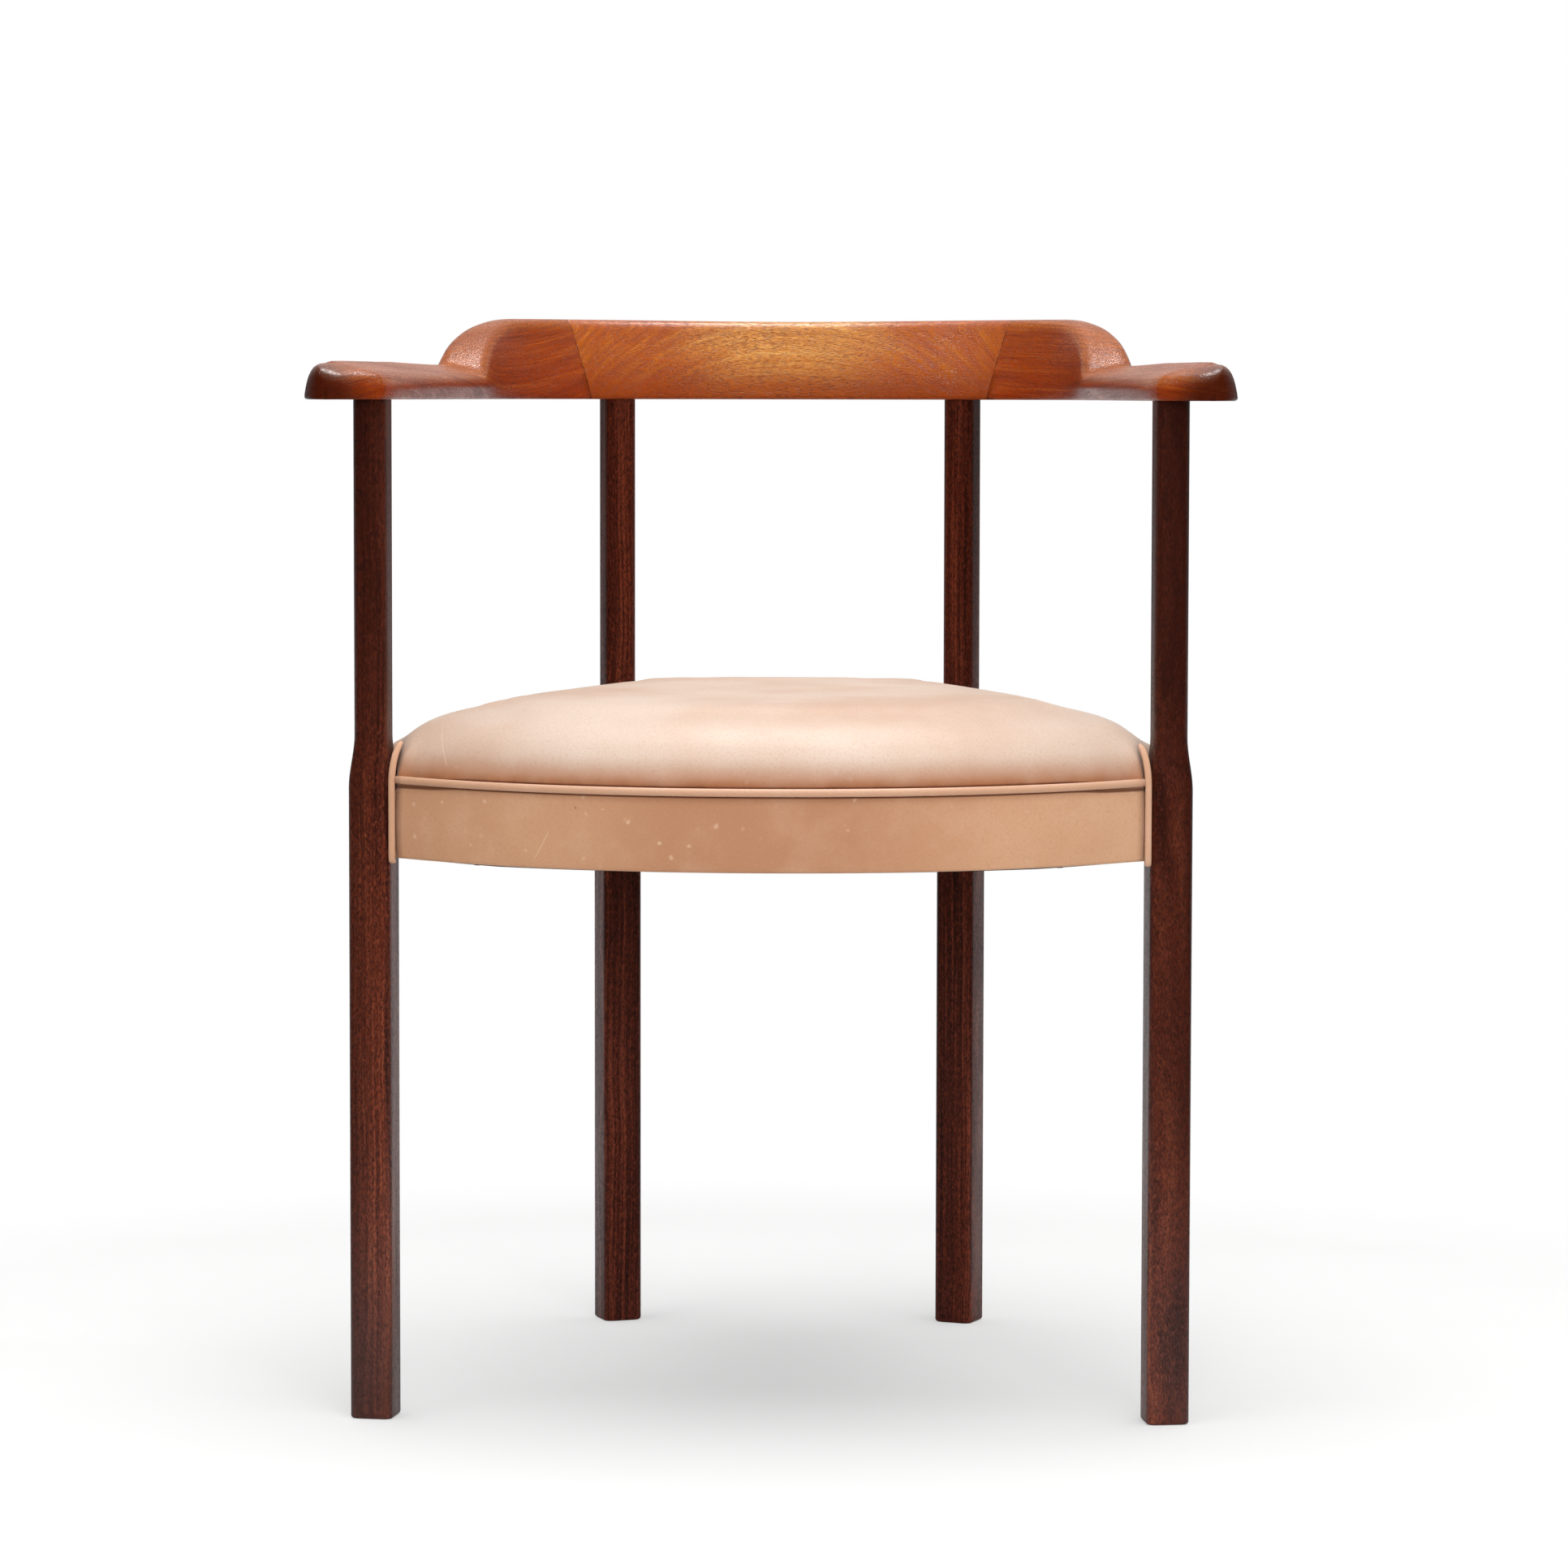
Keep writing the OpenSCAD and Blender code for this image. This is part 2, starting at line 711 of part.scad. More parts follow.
// One screw with its head at the start, driven into a rail face; the head bore may be longer
module block_screw(at, turn, height, grow, head_longer) {
    translate([at.x, at.y, tenon_z + height])
        rotate(turn)
            translate([screw_into_rail, 0, 0])
                rotate([0, -90, 0]) {
                    cylinder(d = screw_d + 2 * grow, h = screw_l, $fn = 24);
                    translate([0, 0, screw_l - screw_head_h])
                        cylinder(d = screw_head_d + 2 * grow, h = screw_head_h + head_longer, $fn = 24);
                }
}

// Two screws for each corner block, one into each of its rails
module block_screws(grow, head_longer) {
    inner = rail_inset + seat_rail_t;
    front_at = front_x - screw_along;
    rear_at = rear_x - screw_along;
    for (side = [0, 1])
        mirror([side, 0, 0]) {
            block_screw([front_at, arc_y(front_at, inner)], -90, -screw_apart, grow, head_longer);
            block_screw([rear_at, rear_y - inner], 90, -screw_apart, grow, head_longer);
            for (along = [screw_along, side_l - screw_along])
                block_screw([front_x, 0] + side_dir * along + side_out * (seat_side - inner),
                    side_turn, screw_apart, grow, head_longer);
        }
}

module corner_block_screws() {
    color("#b9b9b4")
        centred()
            block_screws(0, 0);
}

// Straps from the front rail to the rear rail
module lengthwise_webbing() {
    color("#b7a27c")
        centred()
            translate([0, 0, seat_rail_top])
                linear_extrude(strap_t)
                    intersection() {
                        inner_plan(rail_inset + seat_rail_t - strap_on_rail);
                        for (k = [-1:1])
                            translate([k * lengthwise_pitch - strap_w / 2, -seat_front])
                                square([strap_w, seat_front + rear_y]);
                    }
}

// Straps from side to side, which step over the lengthwise ones and come down on the rails
module crosswise_webbing() {
    color("#b7a27c")
        centred()
            for (k = [0:crosswise_count - 1]) {
                y = crosswise_first + crosswise_pitch * k;
                inner = side_x(y + strap_w / 2, seat_side - rail_inset - seat_rail_t);
                reach = inner + strap_on_rail;
                flat = inner - strap_slope_l;
                translate([0, y + strap_w / 2, seat_rail_top])
                    rotate([90, 0, 0])
                        linear_extrude(strap_w)
                            polygon([
                                [-reach, 0], [-inner, 0], [-flat, strap_t], [flat, strap_t],
                                [inner, 0], [reach, 0], [reach, strap_t], [inner, strap_t],
                                [flat, 2 * strap_t], [-flat, 2 * strap_t],
                                [-inner, strap_t], [-reach, strap_t]]);
            }
}

module hessian() {
    color("#a98f63")
        centred()
            translate([0, 0, hessian_z])
                linear_extrude(hessian_t)
                    difference() {
                        inner_plan(inside_piping);
                        legs_in_plan(cloth_from_leg);
                    }
}

// Closed surface from an outer dome down to its rim and on through an inner face
module crowned_solid(dome, top, inner, inner_top) {
    n = crown_points;
    rings = concat(dome, inner);
    points = concat([for (ring = rings) each ring], [top, inner_top]);
    dome_last = (len(dome) - 1) * n;
    top_at = len(rings) * n;
    rim_from = len(dome) * n;
    inner_last = (len(rings) - 1) * n;
    steps = concat(
        [for (j = [0:len(dome) - 2]) [j * n, (j + 1) * n, 1]],
        [for (j = [0:len(inner) - 2]) [rim_from + j * n, rim_from + (j + 1) * n, -1]],
        [[0, rim_from, -1]]);
    faces = concat(
        [for (step = steps, k = [0:n - 1]) let (m = (k + 1) % n)
            step[2] > 0 ? [step[0] + m, step[0] + k, step[1] + m]
                : [step[0] + k, step[0] + m, step[1] + k]],
        [for (step = steps, k = [0:n - 1]) let (m = (k + 1) % n)
            step[2] > 0 ? [step[1] + m, step[0] + k, step[1] + k]
                : [step[1] + k, step[0] + m, step[1] + m]],
        [for (k = [0:n - 1]) [dome_last + (k + 1) % n, dome_last + k, top_at]],
        [for (k = [0:n - 1]) [inner_last + k, inner_last + (k + 1) % n, top_at + 1]]);
    polyhedron(points = points, faces = faces, convexity = 6);
}

module seat_pad() {
    inset = leather_inset + leather_t + soft_fit;
    down = leather_t + soft_fit;
    waist = crown_ring(1, inside_piping, 0);
    foot = [for (p = waist) [p.x, p.y, pad_z]];
    dome = concat([foot, waist], [for (k = [1:len(lining_rings) - 1])
        crown_ring(lining_rings[k], inset, down)]);
    color("#e2c98f")
        centred()
            difference() {
                crowned_solid(dome, [0, plan_mid_y, crown_z(0) - down],
                    [[for (p = foot) [p.x * 0.5, plan_mid_y + (p.y - plan_mid_y) * 0.5, pad_z]]],
                    [0, plan_mid_y, pad_z]);
                leg_space(leather_t + 2 * soft_fit);
            }
}

module leather_top() {
    color("#eec4a2")
        centred()
            difference() {
                crowned_solid(
                    [for (rho = crown_rings) crown_ring(rho, leather_inset, 0)],
                    [0, plan_mid_y, crown_z(0)],
                    [for (k = [0:len(lining_rings) - 1])
                        crown_ring(lining_rings[k], leather_inset + leather_t, k == 0 ? 0 : leather_t)],
                    [0, plan_mid_y, crown_z(0) - leather_t]);
                crown_corner_space();
            }
}

// Section of a leather band in [out, up], which wraps the outside of a rail and turns under it
module band_profile() {
    difference() {
        union() {
            translate([-hem_w, seat_z + band_edge_r])
                square([hem_w, band_h - band_edge_r]);
            translate([-hem_w, seat_z])
                square([hem_w - band_edge_r, 2 * band_edge_r]);
            translate([-band_edge_r, seat_z + band_edge_r])
                circle(r = band_edge_r, $fn = 32);
        }
        translate([-hem_w - overcut, seat_z + leather_t])
            square([hem_w + overcut - leather_t, band_h]);
    }
}

// Runs a profile in [out, up] along the right side, the back or the front arc
module along_side() {
    translate([rear_x, leg_depth, 0] + seat_side * [side_out.x, side_out.y, 0])
        rotate(side_turn)
            rotate([90, 0, 0])
                linear_extrude(side_l)
                    children();
}

module along_back() {
    translate([-rear_x, rear_y, 0])
        rotate(90)
            rotate([90, 0, 0])
                linear_extrude(rear_spacing)
                    children();
}

module along_front() {
    half = asin(seat_corner_x / seat_r);
    translate([0, seat_arc_y, 0])
        rotate(-90 - half)
            rotate_extrude(angle = 2 * half, $fn = 180)
                translate([seat_r, 0])
                    children();
}

module piping_profile() {
    translate([-piping_inset, piping_z])
        circle(d = piping_d, $fn = 32);
}

module front_leather_band() {
    color("#dba27c")
        centred()
            difference() {
                along_front() band_profile();
                corner_space();
            }
}

module rear_leather_band() {
    color("#dba27c")
        centred()
            difference() {
                along_back() band_profile();
                corner_space();
            }
}

module right_leather_band() {
    color("#dba27c")
        centred()
            difference() {
                along_side() band_profile();
                corner_space();
            }
}

module left_leather_band() { on_left() right_leather_band(); }

module front_piping() {
    color("#f0caa8")
        centred()
            difference() {
                along_front() piping_profile();
                corner_space();
            }
}

module rear_piping() {
    color("#f0caa8")
        centred()
            difference() {
                along_back() piping_profile();
                corner_space();
            }
}

module right_piping() {
    color("#f0caa8")
        centred()
            difference() {
                along_side() piping_profile();
                corner_space();
            }
}

module left_piping() { on_left() right_piping(); }

// Height of the seat surface over a point of the plan
function crown_at(p) =
    let (x = p.x, y = p.y - plan_mid_y, edge = plan_r(atan2(y, x), leather_inset))
    crown_z(min(norm([x, y]) / edge, 1));

// Path of a welt as [away from the leg, in from the seat edge, up]: straight beside the band,
// then in over the crown
function welt_path(at, away, out, bottom) = concat(
    [[0, 0, bottom]],
    [for (k = [0:welt_top_steps]) let (
        t = k / welt_top_steps,
        over = welt_top_reach * t * t,
        side = welt_top_curl * t * (2 - t),
        p = at + away * side - out * (over + welt_w / 2 + leather_inset))
        [side, over, max(crown_at(p), leather_edge_z) + welt_w / 4 * t]]);

// Upright welt at a leg, which runs up beside it and in over the crown
module welt(at, away, out, bottom, grow) {
    path = welt_path(at, away, out, bottom);
    last = len(path) - 1;
    hand = sign(away.x * out.y - away.y * out.x);
    loft([for (k = [0:last]) let (
        step = path[min(k + 1, last)] - path[max(k - 1, 0)],
        rise = step.z / norm([step.y, step.z]),
        run = step.y / norm([step.y, step.z]),
        lift = k == 0 ? -grow : k == last ? grow : 0,
        middle = path[k])
        [for (j = [0:welt_sides - 1]) let (
            a = hand * 360 * (j + 0.5) / welt_sides,
            side = (welt_w / 2 + grow) * cos(a),
            face = (welt_w / 2 + grow) * sin(a),
            p = at + away * (middle.x + side) + out * (face * rise - middle.y))
            [p.x, p.y, middle.z + face * run + lift]]]);
}

// Space that the leather top leaves for the legs and the welts
module crown_corner_space() {
    leg_space(soft_fit);
    for (side = [0, 1], place = concat(front_welt_places, rear_welt_places))
        mirror([side, 0, 0])
            welt(place[0], place[1], place[2], leather_edge_z - overcut, soft_fit);
}

// Space that the bands and the piping leave for the legs and the straight runs of the welts
module corner_space() {
    leg_space(soft_fit);
    for (side = [0, 1], place = concat(front_welt_places, rear_welt_places))
        mirror([side, 0, 0])
            translate([place[0].x, place[0].y, seat_z - overcut])
                cylinder(d = welt_w + 2 * soft_fit, h = leather_edge_z - seat_z + 2 * overcut, $fn = 32);
}

module front_leg_welts() {
    color("#f0caa8")
        centred()
            for (place = front_welt_places)
                welt(place[0], place[1], place[2], welt_bottom, 0);
}

module rear_leg_welts() {
    color("#f0caa8")
        centred()
            for (place = rear_welt_places)
                welt(place[0], place[1], place[2], welt_bottom, 0);
}

module front_right_leg_welts() { front_leg_welts(); }
module front_left_leg_welts() { on_left() front_leg_welts(); }
module rear_right_leg_welts() { rear_leg_welts(); }
module rear_left_leg_welts() { on_left() rear_leg_welts(); }

module dust_cover() {
    color("#2b2825")
        centred()
            translate([0, 0, seat_z - dust_cover_t])
                linear_extrude(dust_cover_t)
                    difference() {
                        inner_plan(hem_w - dust_cover_on_hem);
                        legs_in_plan(cloth_from_leg);
                    }
}

front_left_leg();
front_right_leg();
rear_left_leg();
rear_right_leg();
left_arm();
right_arm();
crest_rail();
joint_dowels();
front_seat_rail();
rear_seat_rail();
left_seat_rail();
right_seat_rail();
front_left_corner_block();
front_right_corner_block();
rear_left_corner_block();
rear_right_corner_block();
corner_block_screws();
lengthwise_webbing();
crosswise_webbing();
hessian();
seat_pad();
leather_top();
front_leather_band();
rear_leather_band();
left_leather_band();
right_leather_band();
front_piping();
rear_piping();
left_piping();
right_piping();
front_left_leg_welts();
front_right_leg_welts();
rear_left_leg_welts();
rear_right_leg_welts();
dust_cover();
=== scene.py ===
import math

import bmesh
import bpy
from mathutils import Euler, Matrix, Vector


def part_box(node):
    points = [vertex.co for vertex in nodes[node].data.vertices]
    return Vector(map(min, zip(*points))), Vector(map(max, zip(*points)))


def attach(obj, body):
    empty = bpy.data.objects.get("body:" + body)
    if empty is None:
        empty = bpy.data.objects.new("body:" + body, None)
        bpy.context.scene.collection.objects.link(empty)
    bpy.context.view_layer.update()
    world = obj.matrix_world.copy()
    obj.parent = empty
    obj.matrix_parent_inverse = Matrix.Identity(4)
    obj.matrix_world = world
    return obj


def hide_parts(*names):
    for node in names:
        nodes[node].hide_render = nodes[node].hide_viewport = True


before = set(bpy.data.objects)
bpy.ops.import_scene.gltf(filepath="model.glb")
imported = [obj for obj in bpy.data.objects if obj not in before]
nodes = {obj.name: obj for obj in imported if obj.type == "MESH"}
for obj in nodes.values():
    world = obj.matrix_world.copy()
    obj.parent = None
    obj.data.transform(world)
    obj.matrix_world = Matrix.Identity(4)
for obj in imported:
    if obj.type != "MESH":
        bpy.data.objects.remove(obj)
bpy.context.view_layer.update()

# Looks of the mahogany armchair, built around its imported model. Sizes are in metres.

# Camera, fitted to the photograph
CAMERA_AT = Vector((0.1199, -3.6129, 0.645))
CAMERA_PITCH = math.radians(-4.04)
CAMERA_HEADING = math.radians(1.852)
CAMERA_ROLL = math.radians(-0.1)
CAMERA_SENSOR = 36
CAMERA_LENS = 127.35

# Lamps: name, place, target, size, power and the rays that they light
LAMPS = (
    ("overhead_softbox", (0.0, -0.2, 2.3), (0, 0, 0.4), (2.6, 2.0), 52, "diffuse"),
    ("sheen_softbox", (0.0, -0.2, 2.3), (0, 0, 0.4), (2.6, 2.0), 30, "glossy"),
    ("head_softbox", (0.05, 0.42, 2.3), (0, -0.2, 0.6), (0.6, 0.4), 42, "glossy"),
    ("front_fill", (0.7, -3.5, 1.2), (0, 0, 0.5), (2.0, 1.4), 70, "diffuse"))

# Floor: half its size, the distances between which it turns white, and its white share before
FLOOR_HALF = 12
WHITE_REACH = (0.48, 0.95)
FLOOR_WHITE = 0.44

# Doubles nearer than this are merged
MERGE = 1e-6

# Leather work
LEATHER = 0.0016
SEAT_SIDE = 0.008
SEAT_CORNER = 0.017
PIPING_R = 0.0025
PIPING_INSET = 0.0005
BAND_BULGE = 0.0008
BAND_FOLD_R = 0.0022
BAND_FROM_LEG = 0.0199
HEM = 0.014
CORNER_PULL = 0.0016

# Tones of the leather: deep, tan and pale
# The seat's tan and pale tones are paler than the band's: painted sheen on the top of the cushion
SEAT_TONES_WITH_SHEEN = ((0.47, 0.225, 0.11), (0.63, 0.49, 0.395), (0.70, 0.57, 0.475))
BAND_TONES = ((0.50, 0.225, 0.11), (0.68, 0.385, 0.225), (0.74, 0.48, 0.33))
BAND_MIDDLE_TONE = (0.49, 0.235, 0.125)
EDGE_TONES = ((0.55, 0.28, 0.15), (0.64, 0.37, 0.24), (0.74, 0.50, 0.37))
# Painted shade just above the fold, where the leather is drawn down
FOLD_SHADE_DARKNESS = (0.78, 0.60, 0.45)
# Painted shadow in the seams at the piping
SEAM_SHADOW_TONE = (0.13, 0.035, 0.012)
SPECK_TONE = (0.2, 0.08, 0.04)
SCRATCH_TONE = (0.85, 0.66, 0.52)

# Scratches on the front of the leather, from one (x, z) to another
SEAT_SCRATCH = ((-0.2065, 0.441), (-0.200, 0.413))
BAND_SCRATCH = ((-0.1330, 0.3769), (-0.143, 0.3582))

# Welts: size, place, run of their feet as reach in and rise, height where they stand upright,
# and run of their tops as rise over the seat edge, reach in and reach away
WELT_W = 0.0044
WELT_THICK = 0.0032
WELT_FROM_LEG = 0.0173
WELT_OUT = 0.009
FRONT_WELT_INSIDE = 0.0131
FRONT_WELT_BEFORE = 0.0176
WELT_BELOW_BAND = 0.0006
WELT_UNDER = ((0.009, 0.0), (0.0045, 0.0), (0.0012, 0.0006))
WELT_UPRIGHT_FROM = 0.003
WELT_TOP = ((0.007, 0.001, 0.0005), (0.014, 0.003, 0.0017), (0.019, 0.0065, 0.0033),
            (0.0225, 0.011, 0.0052))

# Seat cushion
CUSHION_VOXEL = 0.004
CUSHION_SHRINK = 0.0015
CUSHION_SWELL = 0.003
RIM_HEIGHT = 0.004
CUSHION_SMOOTHINGS = 6
TUCK_R = 0.0042
TUCK_AWAY = 0.0048
TUCK_IN = 0.0022
CUSHION_PRESSURE = 4.0
CLOTH_FRAMES = 20

# Cloth under the seat
COVER_INSET = 0.008
HESSIAN_INSET = 0.0035
CLOTH_SAG = 0.0025
CLOTH_LEG_GAP = 0.0225
CLOTH_CELLS = 48
TACK_R = 0.0032
TACK_PITCH = 0.045
TACK_INSET = 0.014
TACK_FLATNESS = 0.25

# Webbing: size of the straps, their ends inside the leather, and the rise where one strap
# passes over another
STRAP_W = 0.05
STRAP_HALF_THICK = 0.0007
STRAP_REST = 0.0008
STRAP_END = 0.0115
CROSS_STRAP_END = 0.0125
CROSS_STRAPS = 4
CROSS_RISE = 0.0016
CROSS_RISE_FROM = 0.012
CROSS_RISE_OVER = 0.006

# Wood work
SMOOTH_ANGLE = math.radians(32)
ARM_SPLAY = math.radians(8.5)
GROWTH_LINE = 0.0034

# Arm heads: where the cap starts past the leg, its length, least share and fullness
HEAD_START = 0.01764
HEAD_LENGTH = 0.02436
HEAD_LEAST = 0.05
HEAD_FULLNESS = 0.3

# Rounding of the arm behind and around its head: how far back it reaches, its share of the
# width, and where the head and its foot edge are smoothed
HEAD_BACK = 0.11
HEAD_SHOULDER = 0.36
HEAD_SMOOTHINGS = 8
HEAD_SMOOTHED_FROM = 0.016
FOOT_SMOOTHED_FROM = 0.02
FOOT_EDGE = 0.002

# Lean of the inner side of the head: the most, where it starts and over which reach it grows,
# and the outer side and width that it is measured by
HEAD_LEAN = 0.013
HEAD_LEAN_FROM = 0.014
HEAD_LEAN_OVER = 0.016
HEAD_OUT = 0.038
HEAD_WIDTH = 0.05

# Darker end grain at the front of the right arm head, with painted shade on its lower outer side:
# its direction, its reach along that and its darkness there
GRAIN_AND_SHADE_TOWARDS = Vector((0.62, -0.52, -0.58))
GRAIN_AND_SHADE_FROM = 0.010
GRAIN_AND_SHADE_FULL = 0.040
GRAIN_AND_SHADE_SHARE = 0.85

# Tones of the mahogany: deep, mid and light
LEG_TONES = ((0.036, 0.0050, 0.0016), (0.150, 0.0260, 0.0100), (0.28, 0.065, 0.028))
# Rear leg tones are darker, as painted shade under the seat
REAR_LEG_SHADED_TONES = ((0.020, 0.0028, 0.0010), (0.085, 0.0130, 0.0050), (0.20, 0.040, 0.018))
ARM_TONES = ((0.18, 0.018, 0.001), (0.31, 0.036, 0.002), (0.42, 0.078, 0.009))
# Lighter arm tones where the wood faces up, as painted light
ARM_LIT_TOP_TONES = ((0.22, 0.038, 0.003), (0.35, 0.077, 0.005), (0.46, 0.125, 0.016))
CREST_TONES = ((0.29, 0.040, 0.001), (0.43, 0.084, 0.003), (0.54, 0.145, 0.011))
GOLD_TONES = ((0.40, 0.115, 0.012), (0.62, 0.245, 0.048), (0.76, 0.39, 0.11))
JOINT_TONE = (0.02, 0.007, 0.004)

# Painted shade on stretches of the wood: height where the shade starts, height where it is full,
# and its share before and after
SEAT_LEVEL_SHADE = (0.34, 0.52, 0.0, 0.6)
REAR_SEAT_LEVEL_SHADE = (0.34, 0.52, 0.0, 0.3)
LEG_SHADES = {"front_left_leg": ((0.13, 0.03, 0.0, 0.6),),
              "front_right_leg": ((0.14, 0.22, 0.0, 0.4),)}
CREST_FOOT_SHADE = (0.676, 0.643, 0.0, 0.9)

UP = Vector((0, 0, 1))
FLAT = Vector((1, 1, 0))


def smooth_step(value):
    value = min(max(value, 0.0), 1.0)
    return value * value * (3 - 2 * value)


def box_middle(node):
    low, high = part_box(node)
    return (low + high) / 2


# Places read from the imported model, for the right-hand side
front_leg = box_middle("front_right_leg") * FLAT
rear_leg = box_middle("rear_right_leg") * FLAT
side_along = (rear_leg - front_leg).normalized()
side_out = Vector((side_along.y, -side_along.x, 0))
band_low, band_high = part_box("front_leather_band")
piping_z = box_middle("front_piping").z
back_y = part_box("rear_leather_band")[1].y
arc_half_x = band_high.x
arc_sag = front_leg.y - SEAT_CORNER - band_low.y
arc_radius = (arc_half_x ** 2 + arc_sag ** 2) / (2 * arc_sag)
arc_centre_y = band_low.y + arc_radius
seat_edge_z = piping_z + PIPING_R


# Mesh tools

def new_piece(name, bm):
    """An object from a bmesh, with its doubles merged and its faces pointing outwards."""
    bmesh.ops.remove_doubles(bm, verts=bm.verts, dist=MERGE)
    bmesh.ops.recalc_face_normals(bm, faces=bm.faces)
    mesh = bpy.data.meshes.new(name)
    bm.to_mesh(mesh)
    bm.free()
    mesh.polygons.foreach_set("use_smooth", [True] * len(mesh.polygons))
    piece = bpy.data.objects.new(name, mesh)
    bpy.context.scene.collection.objects.link(piece)
    return piece


def finish_piece(piece, finish, slot, *replaced):
    """Gives a piece its material and its body, and hides the nodes that it stands for."""
    piece.data.materials.clear()
    piece.data.materials.append(finish)
    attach(piece, "root")
    if replaced:
        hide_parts(*replaced)
    return piece


def subdivide(piece, levels):
    modifier = piece.modifiers.new("subdivision", "SUBSURF")
    modifier.levels = levels
    modifier.render_levels = levels


def apply_modifiers(piece):
    shown = piece.evaluated_get(bpy.context.evaluated_depsgraph_get())
    mesh = bpy.data.meshes.new_from_object(shown)
    piece.modifiers.clear()
    piece.data = mesh


def smooth(bm, verts, upwards=True):
    """Moves each point half way to the middle of its neighbours."""
    bmesh.ops.smooth_vert(bm, verts=verts, factor=0.5, use_axis_x=True, use_axis_y=True,
                          use_axis_z=upwards)


def ring_edges(bm, verts):
    pairs = [(verts[k - 1], verts[k]) for k in range(len(verts))]
    return [bm.edges.get(pair) or bm.edges.new(pair) for pair in pairs]


def sweep(bm, profile, places):
    """Extrudes a closed profile of (out, up) points through places of (point, out, up)."""
    def placed(place):
        at, out, up = place
        return [at + out * p[0] + up * p[1] for p in profile]

    verts = [bm.verts.new(spot) for spot in placed(places[0])]
    edges = ring_edges(bm, verts)
    bm.faces.new(verts)
    for place in places[1:]:
        grown = set(bmesh.ops.extrude_edge_only(bm, edges=edges)["geom"])
        verts = [next(e.other_vert(v) for e in v.link_edges if e.other_vert(v) in grown)
                 for v in verts]
        for vert, spot in zip(verts, placed(place)):
            vert.co = spot
        edges = ring_edges(bm, verts)
    bm.faces.new(verts)


# Materials

class Finish:
    """A node material that grows one node at a time."""

    def __init__(self, name):
        self.material = bpy.data.materials.new(name)
        self.material.use_nodes = True
        self.tree = self.material.node_tree
        self.tree.nodes.clear()
        self.surface = self.add("ShaderNodeBsdfPrincipled")
        output = self.add("ShaderNodeOutputMaterial")
        self.tree.links.new(self.surface.outputs[0], output.inputs["Surface"])
        self.place = self.add("ShaderNodeTexCoord").outputs["Object"]

    def add(self, kind, inputs=None, **settings):
        node = self.tree.nodes.new(kind)
        for key, value in settings.items():
            setattr(node, key, value)
        for key, value in (inputs or {}).items():
            self.put(node.inputs[key], value)
        return node

    def put(self, socket, value):
        if isinstance(value, bpy.types.NodeSocket):
            self.tree.links.new(value, socket)
        elif isinstance(value, tuple) and len(value) == 3 and socket.type == "RGBA":
            socket.default_value = (*value, 1)
        else:
            socket.default_value = value

    def stretch(self, vector, scale, turn=(0, 0, 0), shift=(0, 0, 0)):
        return self.add("ShaderNodeMapping", {
            "Vector": vector, "Scale": scale, "Rotation": turn, "Location": shift}).outputs[0]

    def noise(self, vector, scale=1.0, detail=2.0, rough=0.5, colour=False):
        node = self.add("ShaderNodeTexNoise", {
            "Vector": vector, "Scale": scale, "Detail": detail, "Roughness": rough})
        return node.outputs["Color" if colour else "Fac"]

    def spots(self, vector, scale):
        return self.add("ShaderNodeTexVoronoi", {"Vector": vector, "Scale": scale})

    def math(self, kind, a, b=0.0):
        return self.add("ShaderNodeMath", {0: a, 1: b}, operation=kind).outputs[0]

    def times(self, a, b):
        return self.math("MULTIPLY", a, b)

    def vector(self, kind, a, b):
        return self.add("ShaderNodeVectorMath", {0: a, 1: b}, operation=kind)

    def fade(self, value, low, high, start=0.0, end=1.0):
        """Smooth step from start at low to end at high."""
        return self.add("ShaderNodeMapRange", {
            "Value": value, "From Min": low, "From Max": high, "To Min": start, "To Max": end},
            interpolation_type="SMOOTHSTEP").outputs[0]

    def mix(self, factor, a, b):
        node = self.add("ShaderNodeMix", data_type="RGBA")
        self.put(node.inputs[0], factor)
        self.put(node.inputs[6], a)
        self.put(node.inputs[7], b)
        return node.outputs[2]

    def parts(self, vector):
        """The x, y and z of a vector."""
        return self.add("ShaderNodeSeparateXYZ", {0: vector}).outputs

    def sway(self, noise, amount):
        """A noise as a wander to both sides."""
        return self.times(self.math("SUBTRACT", noise, 0.5), amount)

    def warp(self, vector, amount, scale, detail=2.0):
        """The vector moved about by a noise of its own."""
        wander = self.vector("SUBTRACT", self.noise(vector, scale, detail, colour=True),
                             (0.5, 0.5, 0.5)).outputs[0]
        wander = self.vector("MULTIPLY", wander, (amount, amount, amount)).outputs[0]
        return self.vector("ADD", vector, wander).outputs[0]

    def bump(self, height, distance, strength=1.0, under=None):
        inputs = {"Height": height, "Distance": distance, "Strength": strength}
        if under is not None:
            inputs["Normal"] = under
        return self.add("ShaderNodeBump", inputs).outputs[0]

    def set(self, **sockets):
        for key, value in sockets.items():
            self.put(self.surface.inputs[key.replace("_", " ")], value)


